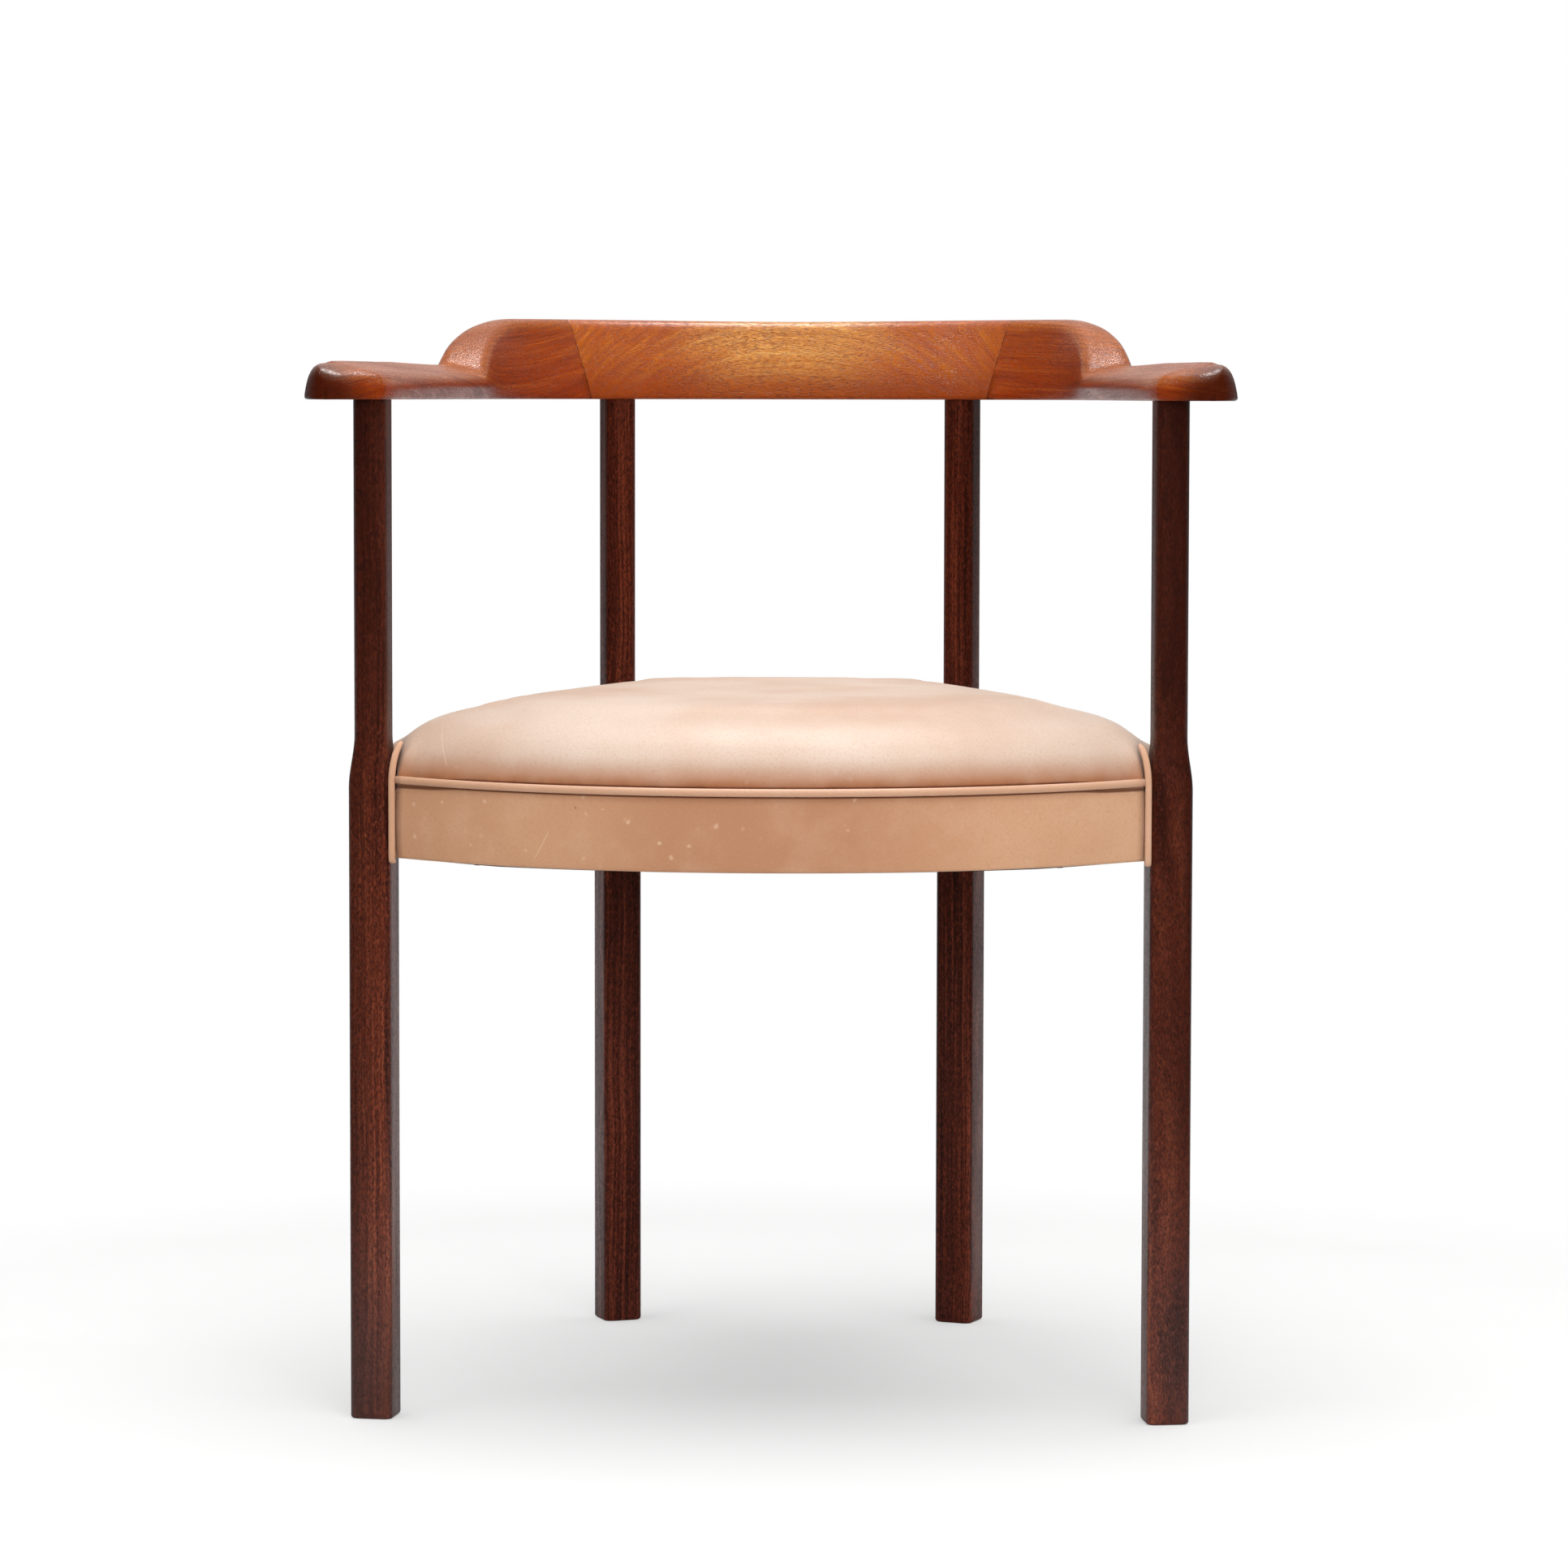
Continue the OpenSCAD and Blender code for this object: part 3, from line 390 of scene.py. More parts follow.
def mahogany(name, tones, warm_tones=None, turn=(0, 0, 0), layers=0.0, shift=(0, 0, 0),
             fleck=(190, 900), fleck_mix=0.5, pore_mix=0.5, figure=1.0, rough=0.36, coat=0.1,
             wave=0.0016, painted_shades=(), outside=None, seams=(), head_grain_and_shade=None, lit_top_tones=None,
             specular=0.5):
    """Oiled mahogany from tones of deep, mid and light. Its fibres run along X after the turn,
    and its growth layers are turned about them. Warm tones take over towards the middle of
    the chair, and lighter top tones where the wood faces up, as painted light. Painted shade
    darkens stretches of its height and the wood outside its outer side. Seams are the joint
    planes, as point and direction, and the head's grain and shade is the point and direction
    of darker end grain and painted shade on the lower outer front of the arm head."""
    finish = Finish(name)
    x, _, z = finish.parts(finish.place)
    board = finish.stretch(finish.place, (1, 1, 1), turn, shift)
    board = finish.warp(board, 0.006, 9)
    layered = finish.stretch(board, (1, 1, 1), (layers, 0, 0))
    wide = finish.noise(finish.stretch(layered, (1.5, 8, 55)), 1.0, 2.0, 0.5)
    bands = finish.noise(finish.stretch(layered, (3, 22, 270)), 1.0, 2.0, 0.5)
    lines = finish.noise(finish.stretch(layered, (7, 60, 900)), 1.0, 1.0, 0.5)
    rings = finish.math("ADD", finish.times(wide, 0.3), finish.times(bands, 0.3))
    rings = finish.math("ADD", rings, finish.times(lines, 0.4))
    depth = finish.math("ADD", finish.parts(layered)[2], finish.times(wide, 0.012))
    arcs = finish.math("SINE", finish.times(depth, 2 * math.pi / GROWTH_LINE))
    arcs = finish.times(finish.fade(arcs, 0.2, 1.0), finish.fade(bands, 0.35, 0.6, 0.2, 1.0))
    wavy = finish.warp(board, wave, 230)
    ribbon = finish.noise(finish.stretch(wavy, (fleck[0], fleck[1], fleck[1])), 1.0, 2.0, 0.6)
    vessel = finish.noise(finish.stretch(wavy, (240, 1900, 1900)), 1.0, 1.0, 0.4)
    swarm = finish.noise(finish.stretch(board, (9, 70, 70)), 1.0, 2.0)
    thick = finish.fade(swarm, 0.35, 0.65)
    pores = finish.fade(finish.math("SUBTRACT", vessel, finish.times(thick, 0.05)), 0.44, 0.36)

    def toned(deep, mid, light, flecks):
        tone = finish.mix(finish.fade(rings, 0.5 - 0.11 / figure, 0.5), deep, mid)
        tone = finish.mix(finish.fade(rings, 0.49, 0.5 + 0.10 / figure), tone, light)
        dark_fleck = finish.fade(ribbon, 0.53, 0.40)
        pale_fleck = finish.fade(ribbon, 0.52, 0.66)
        tone = finish.mix(finish.times(arcs, 0.32), tone, deep)
        tone = finish.mix(finish.times(dark_fleck, flecks), tone, deep)
        return finish.mix(finish.times(pale_fleck, 0.8 * flecks), tone, light)

    colour = toned(*tones, 0.5 * fleck_mix if warm_tones else fleck_mix)
    if warm_tones:
        across = finish.math("ADD", finish.math("ABSOLUTE", x), finish.sway(wide, 0.08))
        colour = finish.mix(finish.fade(across, 0.10, 0.03), colour,
                            toned(*warm_tones, fleck_mix))
    # Painted shade on stretches of the height
    for shade in painted_shades:
        colour = finish.mix(finish.fade(z, *shade), colour, tones[0])
    # Painted shade towards the outer side of the leg
    if outside:
        side = finish.math("ADD", finish.math("ABSOLUTE", x), finish.sway(wide, 0.01))
        colour = finish.mix(finish.fade(side, *outside), colour, tones[0])
    # Painted light: lighter tones where the wood faces up
    if lit_top_tones:
        facing = finish.parts(finish.add("ShaderNodeNewGeometry").outputs["Normal"])[2]
        colour = finish.mix(finish.fade(facing, 0.12, 0.55), colour,
                            toned(*lit_top_tones, fleck_mix))
    dark = tuple(0.35 * c for c in tones[0])
    colour = finish.mix(finish.times(pores, pore_mix), colour, dark)
    # Darker end grain at the front of the arm head and painted shade on its lower outer side
    if head_grain_and_shade:
        offset = finish.vector("SUBTRACT", finish.place, head_grain_and_shade[0]).outputs[0]
        reach = finish.vector("DOT_PRODUCT", offset, head_grain_and_shade[1]).outputs["Value"]
        grain_and_shade = finish.fade(finish.math("ADD", reach, finish.times(wide, 0.006)),
                           GRAIN_AND_SHADE_FROM, GRAIN_AND_SHADE_FULL, 0.0, GRAIN_AND_SHADE_SHARE)
        colour = finish.mix(grain_and_shade, colour, tuple(0.2 * c for c in tones[0]))
    for point, across in seams:
        offset = finish.vector("SUBTRACT", finish.place, point).outputs[0]
        gap = finish.vector("DOT_PRODUCT", offset, across).outputs["Value"]
        broken = finish.fade(finish.noise(finish.place, 260, 1.0), 0.35, 0.6, 0.45, 0.95)
        line = finish.fade(finish.math("ABSOLUTE", gap), 0.00042, 0.00018)
        colour = finish.mix(finish.times(line, broken), colour, JOINT_TONE)
    roughness = finish.math("ADD", finish.fade(rings, 0.4, 0.6, rough + 0.04, rough - 0.04),
                            finish.times(pores, 0.15))
    relief = finish.bump(pores, -0.0003, 0.7)
    relief = finish.bump(ribbon, 0.00035, 0.6, relief)
    finish.set(Base_Color=colour, Roughness=roughness, Normal=relief, Coat_Weight=coat,
               Coat_Roughness=0.25, IOR=1.45, Specular_IOR_Level=specular)
    return finish.material


def leather(name, deep, tan, pale, marks=1.0, rough=0.5, sheen=0.1, fold_shade_z=0.0, seam_shadow_z=0.0,
            scratch=None, middle=None):
    """Natural tanned leather with a fine grain, pale healed marks and a few dark specks. It has
    painted shade just above its fold height, where it is drawn down, and a painted shadow
    along its seam height. A scratch is a pale line from one (x, z) to another on the front. A
    middle tone stands for the tan one towards the middle of the chair."""
    finish = Finish(name)
    place = finish.place
    cloud = finish.noise(place, 7, 3.0, 0.5)
    patch = finish.noise(place, 30, 4.0, 0.6)
    fleck = finish.noise(place, 650, 3.0, 0.65)
    fine = finish.noise(place, 2300, 2.0, 0.6)
    x, y, z = finish.parts(place)
    if middle:
        tan = finish.mix(finish.fade(finish.math("ABSOLUTE", x), 0.04, 0.17), middle, tan)
    colour = finish.mix(finish.fade(cloud, 0.35, 0.68, 0.0, 0.55), tan, deep)
    colour = finish.mix(finish.fade(patch, 0.45, 0.75, 0.0, 0.22), colour, pale)
    colour = finish.mix(finish.fade(fleck, 0.45, 0.72, 0.0, 0.3), colour, deep)
    colour = finish.mix(finish.fade(fine, 0.5, 0.3, 0.0, 0.25), colour, pale)
    # Painted shade just above the fold
    if fold_shade_z:
        near = finish.fade(z, fold_shade_z + 0.020, fold_shade_z + 0.001)
        near = finish.times(near, finish.fade(patch, 0.2, 0.8, 1.0, 0.75))
        fold_shade_tone = tuple(c * k for c, k in zip(deep, FOLD_SHADE_DARKNESS))
        colour = finish.mix(finish.times(near, 0.95), colour, fold_shade_tone)
    spots = finish.spots(finish.warp(place, 0.003, 300), 110)
    cluster = finish.fade(finish.noise(place, 13, 1.0), 0.40, 0.52)
    mark = finish.times(finish.fade(spots.outputs["Distance"], 0.22, 0.09), cluster)
    some = finish.fade(finish.add("ShaderNodeSeparateColor", {
        0: spots.outputs["Color"]}).outputs[0], 0.3, 0.9)
    mark = finish.times(mark, some)
    colour = finish.mix(finish.times(mark, 0.75 * marks), colour, pale)
    specks = finish.spots(place, 34)
    speck = finish.times(finish.fade(specks.outputs["Distance"], 0.035, 0.015),
                         finish.fade(finish.noise(place, 19, 1.0), 0.50, 0.58))
    colour = finish.mix(finish.times(speck, 0.6 * marks), colour, SPECK_TONE)
    if scratch:
        (x0, z0), (x1, z1) = scratch
        line = finish.times(finish.math("SUBTRACT", z, z0), (x1 - x0) / (z1 - z0))
        line = finish.math("SUBTRACT", x, finish.math("ADD", line, x0))
        line = finish.math("ABSOLUTE", finish.math("ADD", line, finish.sway(patch, 0.004)))
        line = finish.times(finish.fade(line, 0.0005, 0.0001), finish.fade(y, -0.15, -0.17))
        line = finish.times(line, finish.fade(z, z0 + 0.001, z0 - 0.003))
        line = finish.times(line, finish.fade(z, z1 - 0.001, z1 + 0.003))
        colour = finish.mix(finish.times(line, 0.35), colour, SCRATCH_TONE)
    # Painted shadow along the seam at the piping
    if seam_shadow_z:
        pull = finish.math("ABSOLUTE", finish.math("DIVIDE", x, arc_half_x))
        pull = finish.times(finish.math("POWER", pull, 3.0),
                            finish.fade(y, -0.19, -0.205, 0.0, CORNER_PULL))
        below = finish.math("SUBTRACT", finish.math("SUBTRACT", z, pull), seam_shadow_z)
        seam = finish.fade(finish.math("ABSOLUTE", below), 0.0016, 0.0005)
        colour = finish.mix(finish.times(seam, 0.85), colour, SEAM_SHADOW_TONE)
    relief = finish.bump(fine, 0.00006, 0.35)
    relief = finish.bump(fleck, 0.00012, 0.3, relief)
    relief = finish.bump(patch, 0.0005, 0.12, relief)
    roughness = finish.fade(fleck, 0.3, 0.7, rough - 0.05, rough + 0.07)
    finish.set(Base_Color=colour, Roughness=roughness, Normal=relief, IOR=1.46,
               Sheen_Weight=sheen, Sheen_Roughness=0.5, Sheen_Tint=(1.0, 0.9, 0.82),
               Specular_IOR_Level=0.3)
    return finish.material


def beech(name, dark, light, turn=(0, 0, 0)):
    """Plain sawn beech with short flecks along its grain."""
    finish = Finish(name)
    board = finish.warp(finish.stretch(finish.place, (1, 1, 1), turn), 0.004, 20)
    streaks = finish.noise(finish.stretch(board, (6, 170, 170)), 1.0, 4.0, 0.6)
    flecks = finish.noise(finish.stretch(board, (180, 1300, 1300)), 1.0, 1.0)
    saw = finish.noise(finish.stretch(board, (420, 30, 30)), 1.0, 1.0)
    colour = finish.mix(finish.fade(streaks, 0.3, 0.7), light, dark)
    colour = finish.mix(finish.fade(flecks, 0.62, 0.7, 0.0, 0.5), colour, dark)
    relief = finish.bump(saw, 0.0002, 0.3)
    relief = finish.bump(streaks, 0.0001, 0.4, relief)
    finish.set(Base_Color=colour, Roughness=finish.fade(streaks, 0.2, 0.8, 0.62, 0.78),
               Normal=relief)
    return finish.material


def woven(name, dark, light, pitch, stripe=None, relief_depth=0.0003):
    """Plain weave of warp and weft threads at a pitch, with an optional dyed stripe."""
    finish = Finish(name)
    place = finish.warp(finish.place, pitch * 0.35, 0.25 / pitch)
    waves = [finish.math("ABSOLUTE", finish.math("SINE", finish.times(part, math.pi / pitch)))
             for part in finish.parts(place)[:2]]
    thread = finish.times(*waves)
    fuzz = finish.noise(finish.place, 900, 3.0)
    tone = finish.noise(finish.place, 40, 3.0)
    colour = finish.mix(finish.fade(thread, 0.05, 0.7), dark, light)
    colour = finish.mix(finish.fade(tone, 0.35, 0.7, 0.0, 0.5), colour, dark)
    if stripe:
        across = finish.parts(finish.add("ShaderNodeUVMap").outputs[0])[0]
        edge = finish.math("ABSOLUTE", finish.math("SUBTRACT", finish.math(
            "ABSOLUTE", finish.math("SUBTRACT", across, 0.5)), 0.36))
        colour = finish.mix(finish.fade(edge, 0.035, 0.02), colour, stripe)
    height = finish.math("ADD", thread, finish.times(fuzz, 0.3))
    finish.set(Base_Color=colour, Roughness=finish.fade(fuzz, 0.2, 0.8, 0.8, 0.92),
               Normal=finish.bump(height, relief_depth, 0.7), Sheen_Weight=0.2)
    return finish.material


def plain_metal(name, bright, dull):
    """Metal with turning marks and a little dulling."""
    finish = Finish(name)
    marks = finish.noise(finish.stretch(finish.place, (900, 900, 5200)), 1.0, 3.0)
    age = finish.noise(finish.place, 160, 3.0)
    finish.set(Base_Color=finish.mix(finish.fade(age, 0.4, 0.7), bright, dull), Metallic=1.0,
               Normal=finish.bump(marks, 0.00005, 0.3),
               Roughness=finish.fade(age, 0.3, 0.7, 0.28, 0.5))
    return finish.material


# Wooden parts

def dress_node(name, finish):
    """Shades a carried node smoothly up to its sharp edges and gives it its material."""
    node = nodes[name]
    node.data.polygons.foreach_set("use_smooth", [True] * len(node.data.polygons))
    weld = node.modifiers.new("weld", "WELD")
    weld.merge_threshold = MERGE
    split = node.modifiers.new("edge_split", "EDGE_SPLIT")
    split.split_angle = SMOOTH_ANGLE
    node.data.materials.clear()
    node.data.materials.append(finish)


def joint_planes():
    """The plane of each joint of arm and crest, read from the end faces of the crest."""
    crest = nodes["crest_rail"].data
    planes = []
    for side in (-1, 1):
        ends = [p for p in crest.polygons
                if p.center.x * side > 0.12 and p.normal.x * side > 0.6
                and abs(p.normal.z) > 0.1]
        area = sum(p.area for p in ends)
        middle = sum((p.center * p.area for p in ends), Vector()) / area
        across = sum((p.normal * p.area for p in ends), Vector()).normalized()
        planes.append((tuple(middle), tuple(across)))
    return planes


def round_shoulder(vert, leg, along, out, foot, rings):
    """Draws a point of the arm in to a rounded outer shoulder, more so towards the head."""
    reach = (vert.co - leg).dot(along)
    k = next((k for k in range(1, len(rings)) if rings[k][0] >= reach), len(rings) - 1)
    before, after = rings[k - 1], rings[k]
    share = min(max((reach - before[0]) / (after[0] - before[0]), 0), 1)
    inner, outer, top = (before[j] + (after[j] - before[j]) * share for j in (1, 2, 3))
    shoulder = HEAD_SHOULDER * (outer - inner)
    across = ((vert.co - leg).dot(out) - outer + shoulder) / shoulder
    height = (vert.co.z - foot) / top
    past = math.hypot(across, height) - 1
    if across > 0 and height > 0 and past > 0:
        scale = 1 / (1 + past * smooth_step((reach + HEAD_BACK) / (HEAD_BACK * 0.8)))
        vert.co += out * across * shoulder * (scale - 1)
        vert.co.z = foot + height * top * scale


def full_headed_arm(side, name, finish):
    """The arm, with a fuller cap on its head and a rounded shoulder behind it."""
    bm = bmesh.new()
    bm.from_mesh(nodes[name].data)
    bmesh.ops.remove_doubles(bm, verts=bm.verts, dist=MERGE)
    along = Vector((side * math.sin(ARM_SPLAY), -math.cos(ARM_SPLAY), 0))
    out = Vector((side * math.cos(ARM_SPLAY), math.sin(ARM_SPLAY), 0))
    leg = Vector((side * front_leg.x, front_leg.y, 0))
    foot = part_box(name)[0].z
    rings = {}
    for vert in bm.verts:
        reach = (vert.co - leg).dot(along)
        if reach > HEAD_START:
            share = (reach - HEAD_START) / HEAD_LENGTH
            closed = max(math.sqrt(max(1 - share ** 2, 0)), HEAD_LEAST)
            vert.co.z = foot + (vert.co.z - foot) * closed ** -HEAD_FULLNESS
        rings.setdefault(round(reach, 4), []).append(vert.co - leg)
    rings = sorted((reach, min(c.dot(out) for c in ring), max(c.dot(out) for c in ring),
                    max(c.z for c in ring) - foot)
                   for reach, ring in rings.items() if len(ring) > 20 and reach > -0.2)
    near = [edge for edge in bm.edges
            if all((vert.co - leg).dot(along) > -HEAD_BACK for vert in edge.verts)]
    bmesh.ops.subdivide_edges(bm, edges=near, cuts=1)
    for vert in bm.verts:
        reach = (vert.co - leg).dot(along)
        if reach > -HEAD_BACK:
            round_shoulder(vert, leg, along, out, foot, rings)
        lean = smooth_step((reach - HEAD_LEAN_FROM) / HEAD_LEAN_OVER)
        inward = (HEAD_OUT - (vert.co - leg).dot(out)) / HEAD_WIDTH
        vert.co += out * HEAD_LEAN * inward * lean
    head = [vert for vert in bm.verts if vert.co.z > foot + FOOT_EDGE
            and (vert.co - leg).dot(along) > HEAD_SMOOTHED_FROM]
    foot_edge = [vert for vert in bm.verts if vert.co.z <= foot + FOOT_EDGE
                 and (vert.co - leg).dot(along) > FOOT_SMOOTHED_FROM]
    for _ in range(HEAD_SMOOTHINGS):
        smooth(bm, head)
        smooth(bm, foot_edge, upwards=False)
    arm = new_piece(name + "_wood", bm)
    arm.data.set_sharp_from_angle(angle=SMOOTH_ANGLE)
    finish_piece(arm, finish, "arm_mahogany", name)


def wooden_parts():
    seams = joint_planes()
    upright = (0, math.pi / 2, 0)
    for k, name in enumerate(("front_left_leg", "front_right_leg", "rear_left_leg",
                              "rear_right_leg")):
        front = k < 2
        # The front legs are darkened towards their outer sides as painted shade
        dress_node(name, mahogany(
            name + "_mahogany", LEG_TONES if front else REAR_LEG_SHADED_TONES, turn=upright,
            layers=0.5 + k, shift=(0.31 * k, 0.05 + 0.12 * k, 0.07), fleck=(300, 1000),
            fleck_mix=0.5, pore_mix=0.6, figure=0.8, rough=0.32, coat=0.1 if front else 0.0,
            wave=0.0036, specular=0.5 if front else 0.2,
            painted_shades=(SEAT_LEVEL_SHADE if front else REAR_SEAT_LEVEL_SHADE,
                    *LEG_SHADES.get(name, ())),
            outside=(front_leg.x - 0.004, front_leg.x + 0.012, 0.0, 0.55) if front else None))
    for side, name in ((-1, "left_arm"), (1, "right_arm")):
        flip = Vector((side, 1, 1))
        # Darker end grain and painted shade on the lower outer front of the arm head
        head_grain_and_shade = ((side * front_leg.x, front_leg.y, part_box(name)[0].z + 0.012),
                   tuple((GRAIN_AND_SHADE_TOWARDS * flip).normalized()))
        full_headed_arm(side, name, mahogany(
            name + "_mahogany", ARM_TONES, turn=(0, 0, math.radians(side * 68)),
            layers=0.5 if side < 0 else 0.15, shift=(0.1, side * 0.3, 0.1), fleck=(500, 1500),
            fleck_mix=0.3, pore_mix=0.35, figure=0.7, rough=0.3, coat=0.03, specular=0.28,
            seams=seams, head_grain_and_shade=head_grain_and_shade, lit_top_tones=ARM_LIT_TOP_TONES))
    dress_node("crest_rail", mahogany(
        "crest_mahogany", CREST_TONES, GOLD_TONES, layers=math.radians(-54), shift=(0.4, 0, 0),
        fleck=(210, 1700), fleck_mix=0.65, pore_mix=0.5, figure=0.7, rough=0.3, coat=0.05,
        specular=0.4, seams=seams, painted_shades=(CREST_FOOT_SHADE,)))
    dress_node("joint_dowels", beech("dowel_beech", (0.42, 0.24, 0.12), (0.6, 0.4, 0.22)))
    frame_beech = beech("frame_beech", (0.40, 0.22, 0.11), (0.58, 0.37, 0.2))
    side_beech = beech("side_beech", (0.38, 0.21, 0.1), (0.56, 0.35, 0.19),
                       turn=(0, 0, math.pi / 2))
    for name in ("front_seat_rail", "rear_seat_rail", "rear_left_corner_block",
                 "rear_right_corner_block"):
        dress_node(name, frame_beech)
    for name in ("left_seat_rail", "right_seat_rail", "front_left_corner_block",
                 "front_right_corner_block"):
        dress_node(name, side_beech)
    dress_node("corner_block_screws", plain_metal("screw_steel", (0.56, 0.56, 0.54),
                                                  (0.36, 0.34, 0.31)))


# Seat

def corner_pull(x):
    """Rise of the front leather towards its corners, where it is drawn up to the legs."""
    return CORNER_PULL * abs(x / arc_half_x) ** 3


def arc_y(x, inset=0.0):
    return arc_centre_y - math.sqrt((arc_radius - inset) ** 2 - x * x)


def arc_places(height, count=80):
    """Places along the front arc, from left to right."""
    half = math.asin(arc_half_x / arc_radius)
    places = []
    for k in range(count + 1):
        turn = half * (2 * k / count - 1)
        out = Vector((math.sin(turn), -math.cos(turn), 0))
        x = arc_radius * math.sin(turn)
        at = Vector((x, arc_centre_y - arc_radius * math.cos(turn), height + corner_pull(x)))
        places.append((at, out, UP))
    return places


def line_places(start, end, out, height, count=24):
    return [(start.lerp(end, k / count) + UP * height, out, UP) for k in range(count + 1)]


def mirrored(places):
    return [(Vector((-p.x, p.y, p.z)), Vector((-o.x, o.y, o.z)), u) for p, o, u in places]


def seat_runs():
    """The runs of band and piping: the front arc, the two sides and the back."""
    shift = side_out * SEAT_SIDE
    side_start = front_leg + side_along * BAND_FROM_LEG + shift
    side_end = rear_leg - side_along * BAND_FROM_LEG + shift
    rear_half_x = rear_leg.x - BAND_FROM_LEG
    rear_start, rear_end = (Vector((x, back_y, 0)) for x in (rear_half_x, -rear_half_x))
    return {
        "front": arc_places,
        "right": lambda h: line_places(side_start, side_end, side_out, h),
        "left": lambda h: mirrored(line_places(side_start, side_end, side_out, h)),
        "rear": lambda h: line_places(rear_start, rear_end, Vector((0, 1, 0)), h)}


def band_profile():
    """Section of a leather band: a soft bulge outside, a fold at the foot and a hem."""
    height = band_high.z - band_low.z
    rest = 0.6 * BAND_BULGE
    outer = [(BAND_BULGE * math.sin(math.pi * k / 8) - rest,
              height - (height - BAND_FOLD_R) * k / 8) for k in range(9)]
    fold = [(-BAND_FOLD_R * (1 - math.cos(a)) - rest, BAND_FOLD_R * (1 - math.sin(a)))
            for a in (math.pi / 12 * k for k in range(1, 7))]
    hem = [(-HEM, 0), (-HEM, LEATHER)]
    inside = [(-LEATHER - BAND_FOLD_R, LEATHER), (-LEATHER - rest, LEATHER * 2),
              (-LEATHER - rest, height * 0.5), (-LEATHER - rest, height)]
    return outer + fold + hem + inside


def round_profile(radius, shift=0.0):
    return [(radius * math.cos(math.pi * k / 8) + shift, radius * math.sin(math.pi * k / 8))
            for k in range(16)]


def seat_edges(finish_band, finish_edge):
    """Leather bands and piping along the front, the sides and the back."""
    for side, run in seat_runs().items():
        bm = bmesh.new()
        places = run(band_low.z)
        sweep(bm, band_profile(), places)
        band = finish_piece(new_piece(side + "_band_leather", bm), finish_band, "leather",
                            side + "_leather_band")
        bm = bmesh.new()
        sweep(bm, round_profile(PIPING_R, -PIPING_INSET), run(piping_z))
        finish_piece(new_piece(side + "_piping_leather", bm), finish_edge, "leather_edge",
                     side + "_piping")


def seat_cushion(finish):
    """The stuffed seat under its leather, swelled a little by a cloth simulation."""
    bm = bmesh.new()
    for name in ("leather_top", "seat_pad"):
        bm.from_mesh(nodes[name].data)
    for foot, away, out in welt_feet():
        places = [(at + away * TUCK_AWAY - out * TUCK_IN, face, across)
                  for at, face, across in welt_run(foot, away, out)[6:]]
        sweep(bm, round_profile(TUCK_R), places)
    cushion = new_piece("seat_cushion", bm)
    remesh = cushion.modifiers.new("remesh", "REMESH")
    remesh.mode = "VOXEL"
    remesh.voxel_size = CUSHION_VOXEL
    apply_modifiers(cushion)
    swell(cushion, seat_edge_z + RIM_HEIGHT)
    bm = bmesh.new()
    bm.from_mesh(cushion.data)
    for _ in range(CUSHION_SMOOTHINGS):
        smooth(bm, bm.verts)
    bm.to_mesh(cushion.data)
    bm.free()
    cushion.data.polygons.foreach_set("use_smooth", [True] * len(cushion.data.polygons))
    subdivide(cushion, 1)
    finish_piece(cushion, finish, "leather", "leather_top", "seat_pad")


def swell(cushion, rim_z):
    """Blows the cushion up against its cover, with its rim and underside held."""
    mesh = cushion.data
    start = [v.co.copy() for v in mesh.vertices]
    free = [v.co.z >= rim_z for v in mesh.vertices]
    held = cushion.vertex_groups.new(name="held")
    held.add([k for k, loose in enumerate(free) if not loose], 1.0, "REPLACE")
    normals = [v.normal.copy() for v in mesh.vertices]
    for vertex, normal, loose in zip(mesh.vertices, normals, free):
        if loose:
            vertex.co -= normal * CUSHION_SHRINK
    cloth = cushion.modifiers.new("cloth", "CLOTH")
    cloth.settings.vertex_group_mass = "held"
    cloth.settings.use_pressure = True
    cloth.settings.uniform_pressure_force = CUSHION_PRESSURE
    cloth.settings.effector_weights.gravity = 0
    cloth.settings.quality = 5
    for number in range(1, CLOTH_FRAMES + 1):
        bpy.context.scene.frame_set(number)
    apply_modifiers(cushion)
    for vertex, before in zip(cushion.data.vertices, start):
        move = vertex.co - before
        if move.length > CUSHION_SWELL:
            vertex.co = before + move.normalized() * CUSHION_SWELL
    bpy.context.scene.frame_set(1)


def welt_run(foot, away, out):
    """Places along a welt: under the seat, up beside the band and in over the crown."""
    under = band_low.z - WELT_BELOW_BAND
    upright = under + WELT_UPRIGHT_FROM
    points = [foot - out * reach + UP * (under + rise) for reach, rise in WELT_UNDER]
    points += [foot + UP * (upright + (seat_edge_z - upright) * k / 5) for k in range(6)]
    points += [foot - out * reach + away * side + UP * (seat_edge_z + rise)
               for rise, reach, side in WELT_TOP]
    places = []
    for k, at in enumerate(points):
        step = (points[min(k + 1, len(points) - 1)] - points[max(k - 1, 0)]).normalized()
        face = away.cross(step).normalized()
        if k > 1 and face.dot(out) < 0 or k <= 1 and face.z > 0:
            face = -face
        places.append((at, face, away))
    return places


def welt_profile():
    """Flattened strip with a soft fold on each edge."""
    return [(WELT_THICK / 2 * math.copysign(abs(math.cos(a)) ** 0.8, math.cos(a)),
             WELT_W / 2 * math.copysign(abs(math.sin(a)) ** 0.8, math.sin(a)))
            for a in (math.pi * k / 6 for k in range(12))]


